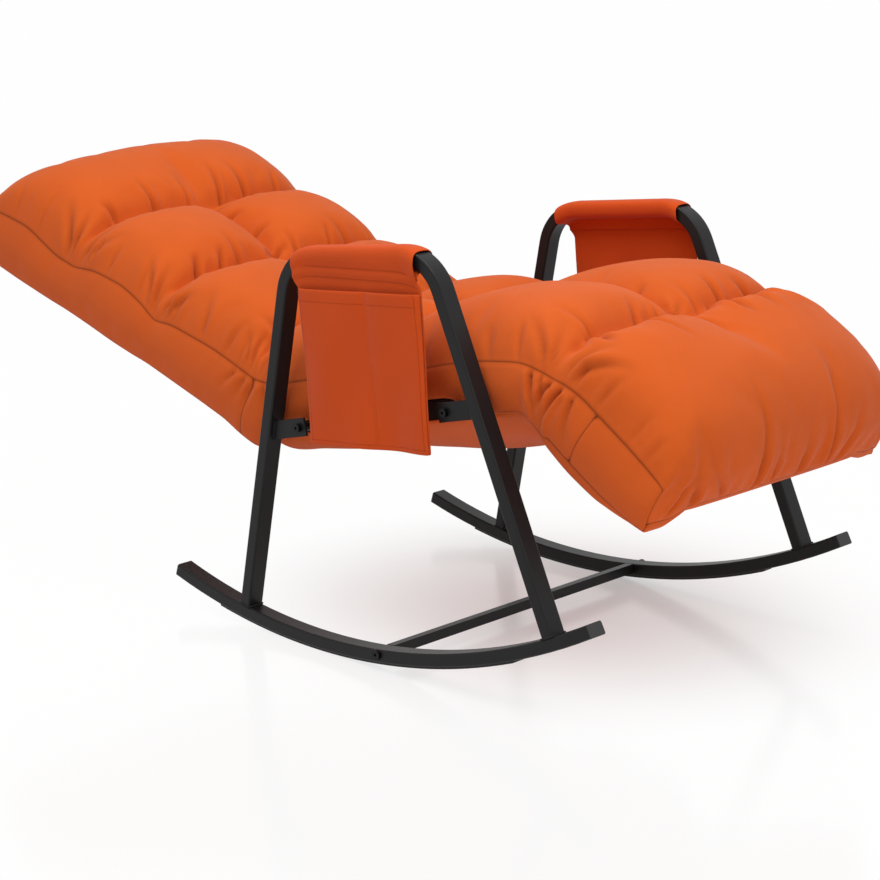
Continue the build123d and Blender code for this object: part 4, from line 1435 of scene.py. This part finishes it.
# Cloth under the seat
UNDER_REAR = 236.0
UNDER_FRONT = -305.0
UNDER_REAR_SAG = 31.0
UNDER_SAG = 74.0
UNDER_DEEPEST = -60.0
UNDER_ROWS = 63
UNDER_COLUMNS = 41
UNDER_DROP = -16.5
UNDER_INSET = 0.5
WRAP_REAR = 155
WRAP_FRONT = -192
WRAP_LONG = 20
FLAT_FROM = 60
FLAT_LONG = 130
SAG_POWERS = (2, 6)
RIPPLE = 1.5
RIPPLE_LONG = 24
RIPPLE_SLANT = 3
RIPPLE_POWER = 4
RAIL_OUT = 261.2

# The cloth's edge outside a rail: out from it, height at the rail's foot and rise where it wraps the rail
RAIL_EDGE = ((0, -14, 0), (0.6, -14, 12), (0.8, -13.9, 24))


class CHAIR_OT_under_cloth(bpy.types.Operator):
    """Cloth stretched under the seat between the rails"""

    bl_idname = "chair.under_cloth"
    bl_label = "Under cloth"

    def execute(self, context):
        sizes = context.scene.rocking_chair.cover
        y = np.linspace(UNDER_REAR, UNDER_FRONT, UNDER_ROWS)
        wrap = smooth_step((y - WRAP_REAR) / WRAP_LONG) + smooth_step((WRAP_FRONT - y) / WRAP_LONG)
        inner = np.linspace(-1, 1, UNDER_COLUMNS)
        rows = []
        for place, lift in zip(y, wrap):
            deep = smooth_step((UNDER_REAR - place) / (UNDER_REAR - UNDER_DEEPEST))
            sag = UNDER_REAR_SAG + (UNDER_SAG - UNDER_REAR_SAG) * deep
            flat = smooth_step((place - FLAT_FROM) / FLAT_LONG)
            fall = 1 - np.abs(inner) ** (SAG_POWERS[0] + SAG_POWERS[1] * flat)
            ripple = RIPPLE * np.sin(place / RIPPLE_LONG + RIPPLE_SLANT * inner)
            sag = sag * fall + ripple * (1 - inner**RIPPLE_POWER)
            middle = np.stack([inner * (RAIL_OUT - UNDER_INSET), UNDER_DROP - sag], 1)
            edge = [(RAIL_OUT + out, up + rise * lift) for out, up, rise in RAIL_EDGE]
            left = [(-x, up) for x, up in reversed(edge)]
            rows.append([(x, *seat_point(place, up)) for x, up in [*left, *middle, *edge]])
        grid = resting(np.array(rows))
        piece = sheet_piece("under_cloth", grid, sizes.cloth, cushion_material(context))
        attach(piece, "frame")
        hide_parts("seat_under_cloth")
        return {"FINISHED"}


# Frame and hardware
class CHAIR_OT_frame_finishes(bpy.types.Operator):
    """Coating, steel, rubber, plastic and webbing on the frame's own pieces"""

    bl_idname = "chair.frame_finishes"
    bl_label = "Frame finishes"

    def execute(self, context):
        coating = context.scene.rocking_chair.colours.coating
        finishes = {
            "frame_steel": coated_finish("black coating", coating, 0.34),
            "hardware": steel_finish("blackened bolts", (0.022, 0.022, 0.023), 0.36),
            "hinge_steel": steel_finish("zinc plate", (0.3, 0.3, 0.31), 0.42),
            "strip_rubber": rubber_finish("strip rubber", (0.016, 0.016, 0.016), 0.75),
            "cap_plastic": rubber_finish("cap plastic", (0.014, 0.014, 0.015), 0.45),
            "webbing": webbing_finish("strap webbing", (0.03, 0.03, 0.032)),
        }
        for row in frame["record"]["subparts"]:
            finish = finishes.get(row["material_slot"])
            if finish is not None:
                node = frame["nodes"][row["node"]]
                node.data.materials.clear()
                node.data.materials.append(finish)
        return {"FINISHED"}


class CHAIR_OT_latch_springs(bpy.types.Operator):
    """Gives the springs inside the rails, which are pressed together as the latches slide back, a mesh of
    their own
    """

    bl_idname = "chair.latch_springs"
    bl_label = "Latch springs"

    def execute(self, context):
        slope = radians(SEAT_RAKE) + ROCK_BACK
        forward = Vector((0, -cos(slope), sin(slope)))
        for label, away in (("recline", forward), ("footrest", -forward)):
            spring = frame["nodes"][f"{label}_latch_springs"]
            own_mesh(spring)
        return {"FINISHED"}


# Studio
CAMERA_PLACE = (-2.7011, -2.6257, 1.2199)
CAMERA_TURN = (75.568, -0.218, -46.607)
SENSOR_WIDTH = 36.0
KEY_PLACE = (-0.6, -0.4, 2.9)
KEY_SIZE = 2.4
FILL_PLACE = (-0.6, -3.2, 1.6)
FILL_SIZE = 2.0
LAMP_AIM = (0, 0, 0.4)


def area_lamp(name, power, size, place):
    """Soft square lamp that points at the chair."""
    lamp = bpy.data.lights.new(name, "AREA")
    lamp.energy = power
    lamp.size = size
    made = new_object(name, lamp)
    made.location = place
    made.rotation_euler = (Vector(LAMP_AIM) - Vector(place)).to_track_quat("-Z", "Y").to_euler()


# Painted light: the share of white glow seen on the floor, low near the shadow's place and high further out
FLOOR_GLOW = (0.37, 0.98)
FLOOR_FADE = (0.06, 0.62)
SHADOW_PLACE = (0.12, -0.25, 0.0)
FLOOR_MIRROR = 0.05
FLOOR_REACH = 30.0
WHITE = (1, 1, 1, 1)
AIR_TINT = (1.0, 0.93, 0.9, 1.0)


def seen_share(finish):
    """1 for rays from the eye, from mirrors and through glass, 0 for the light that falls on things."""
    path = finish.tree.nodes.new("ShaderNodeLightPath")
    names = ("Is Camera Ray", "Is Glossy Ray", "Is Transmission Ray")
    eye, mirror, glass = [Field(finish, path.outputs[name]) for name in names]
    return finish.node("ShaderNodeMath", {"operation": "MINIMUM"}, {0: eye + mirror + glass, 1: 1.0})


def floor_finish(colour):
    """Pale, faintly glossy floor with a painted white glow, weak in a disc near the chair so that its shadow
    shows there, and strong further away.
    """
    finish = Finish("studio floor")
    place = finish.own_place()
    ends = {0: place, 1: SHADOW_PLACE}
    away = finish.node("ShaderNodeVectorMath", {"operation": "DISTANCE"}, ends, output="Value")
    limits = {"Value": away, 1: FLOOR_FADE[0], 2: FLOOR_FADE[1], 3: FLOOR_GLOW[0], 4: FLOOR_GLOW[1]}
    share = finish.node("ShaderNodeMapRange", {"interpolation_type": "SMOOTHSTEP"}, limits)
    # Base colour tinted pink: painted bounce light from the orange cloth
    sockets = {"Base Color": tuple(colour) + (1.0,), "Roughness": 0.22, "Specular IOR Level": 0.35}
    matte = finish.node("ShaderNodeBsdfPrincipled", None, sockets)
    glow = finish.node("ShaderNodeEmission", None, {"Color": WHITE, "Strength": 1.0})
    plain = finish.node("ShaderNodeMixShader", None, {0: seen_share(finish) * share, 1: matte, 2: glow})
    mirror = finish.node("ShaderNodeBsdfGlossy", None, {"Color": WHITE, "Roughness": 0.16})
    mixed = finish.node("ShaderNodeMixShader", None, {0: FLOOR_MIRROR, 1: plain, 2: mirror})
    finish.node("ShaderNodeOutputMaterial", None, {"Surface": mixed})
    return finish.material


def studio_air(strength):
    """Even light on the chair, seen as plain white."""
    finish = Finish("studio air", bpy.data.worlds)
    air = finish.node("ShaderNodeBackground", None, {"Color": AIR_TINT, "Strength": strength})
    white = finish.node("ShaderNodeBackground", None, {"Color": WHITE, "Strength": 1.0})
    mixed = finish.node("ShaderNodeMixShader", None, {0: seen_share(finish), 1: air, 2: white})
    finish.node("ShaderNodeOutputWorld", None, {"Surface": mixed})
    return finish.material


class CHAIR_OT_studio(bpy.types.Operator):
    """Floor, even light, lamps and the camera at the photograph's angle"""

    bl_idname = "chair.studio"
    bl_label = "Studio"

    def execute(self, context):
        scene = context.scene
        settings = scene.rocking_chair
        signs = ((-1, -1), (1, -1), (1, 1), (-1, 1))
        corners = [(x * FLOOR_REACH, y * FLOOR_REACH, 0) for x, y in signs]
        floor = new_piece("studio_floor", corners, [(0, 1, 2, 3)])
        finished(floor, floor_finish(settings.colours.floor))
        scene.world = studio_air(settings.studio.air)
        area_lamp("key lamp", settings.studio.key, KEY_SIZE, KEY_PLACE)
        area_lamp("front lamp", settings.studio.fill, FILL_SIZE, FILL_PLACE)
        camera = bpy.data.cameras.new("camera")
        camera.lens = settings.studio.lens
        camera.sensor_width = SENSOR_WIDTH
        made = new_object("camera", camera)
        made.location = CAMERA_PLACE
        made.rotation_euler = [radians(angle) for angle in CAMERA_TURN]
        scene.camera = made
        scene.view_settings.view_transform = "Standard"
        return {"FINISHED"}


class CHAIR_PT_panel(bpy.types.Panel):
    """Steps that dress the rocking chair"""

    bl_idname = "CHAIR_PT_panel"
    bl_label = "Rocking chair"
    bl_space_type = "VIEW_3D"
    bl_region_type = "UI"
    bl_category = "Rocking chair"

    def draw(self, context):
        settings = context.scene.rocking_chair
        for group in (settings.cushion, settings.cover, settings.colours, settings.studio):
            box = self.layout.box()
            for key in group.__annotations__:
                box.prop(group, key)
        for step in STEPS:
            self.layout.operator(step.bl_idname)


GROUPS = (CushionSizes, CoverSizes, Colours, StudioSettings, ChairSettings)
STEPS = (
    CHAIR_OT_frame_finishes,
    CHAIR_OT_rear_cushion,
    CHAIR_OT_front_cushion,
    CHAIR_OT_arm_covers,
    CHAIR_OT_arm_pockets,
    CHAIR_OT_stitches,
    CHAIR_OT_welds,
    CHAIR_OT_under_cloth,
    CHAIR_OT_latch_springs,
    CHAIR_OT_studio,
)


def register():
    for kind in (*GROUPS, *STEPS, CHAIR_PT_panel):
        bpy.utils.register_class(kind)
    bpy.types.Scene.rocking_chair = PointerProperty(type=ChairSettings)


def unregister():
    del bpy.types.Scene.rocking_chair
    for kind in reversed((*GROUPS, *STEPS, CHAIR_PT_panel)):
        bpy.utils.unregister_class(kind)


def main():
    """Dresses the chair step by step."""
    register()
    for step in STEPS:
        group, name = step.bl_idname.split(".")
        getattr(getattr(bpy.ops, group), name)()


if __name__ == "__main__":
    main()
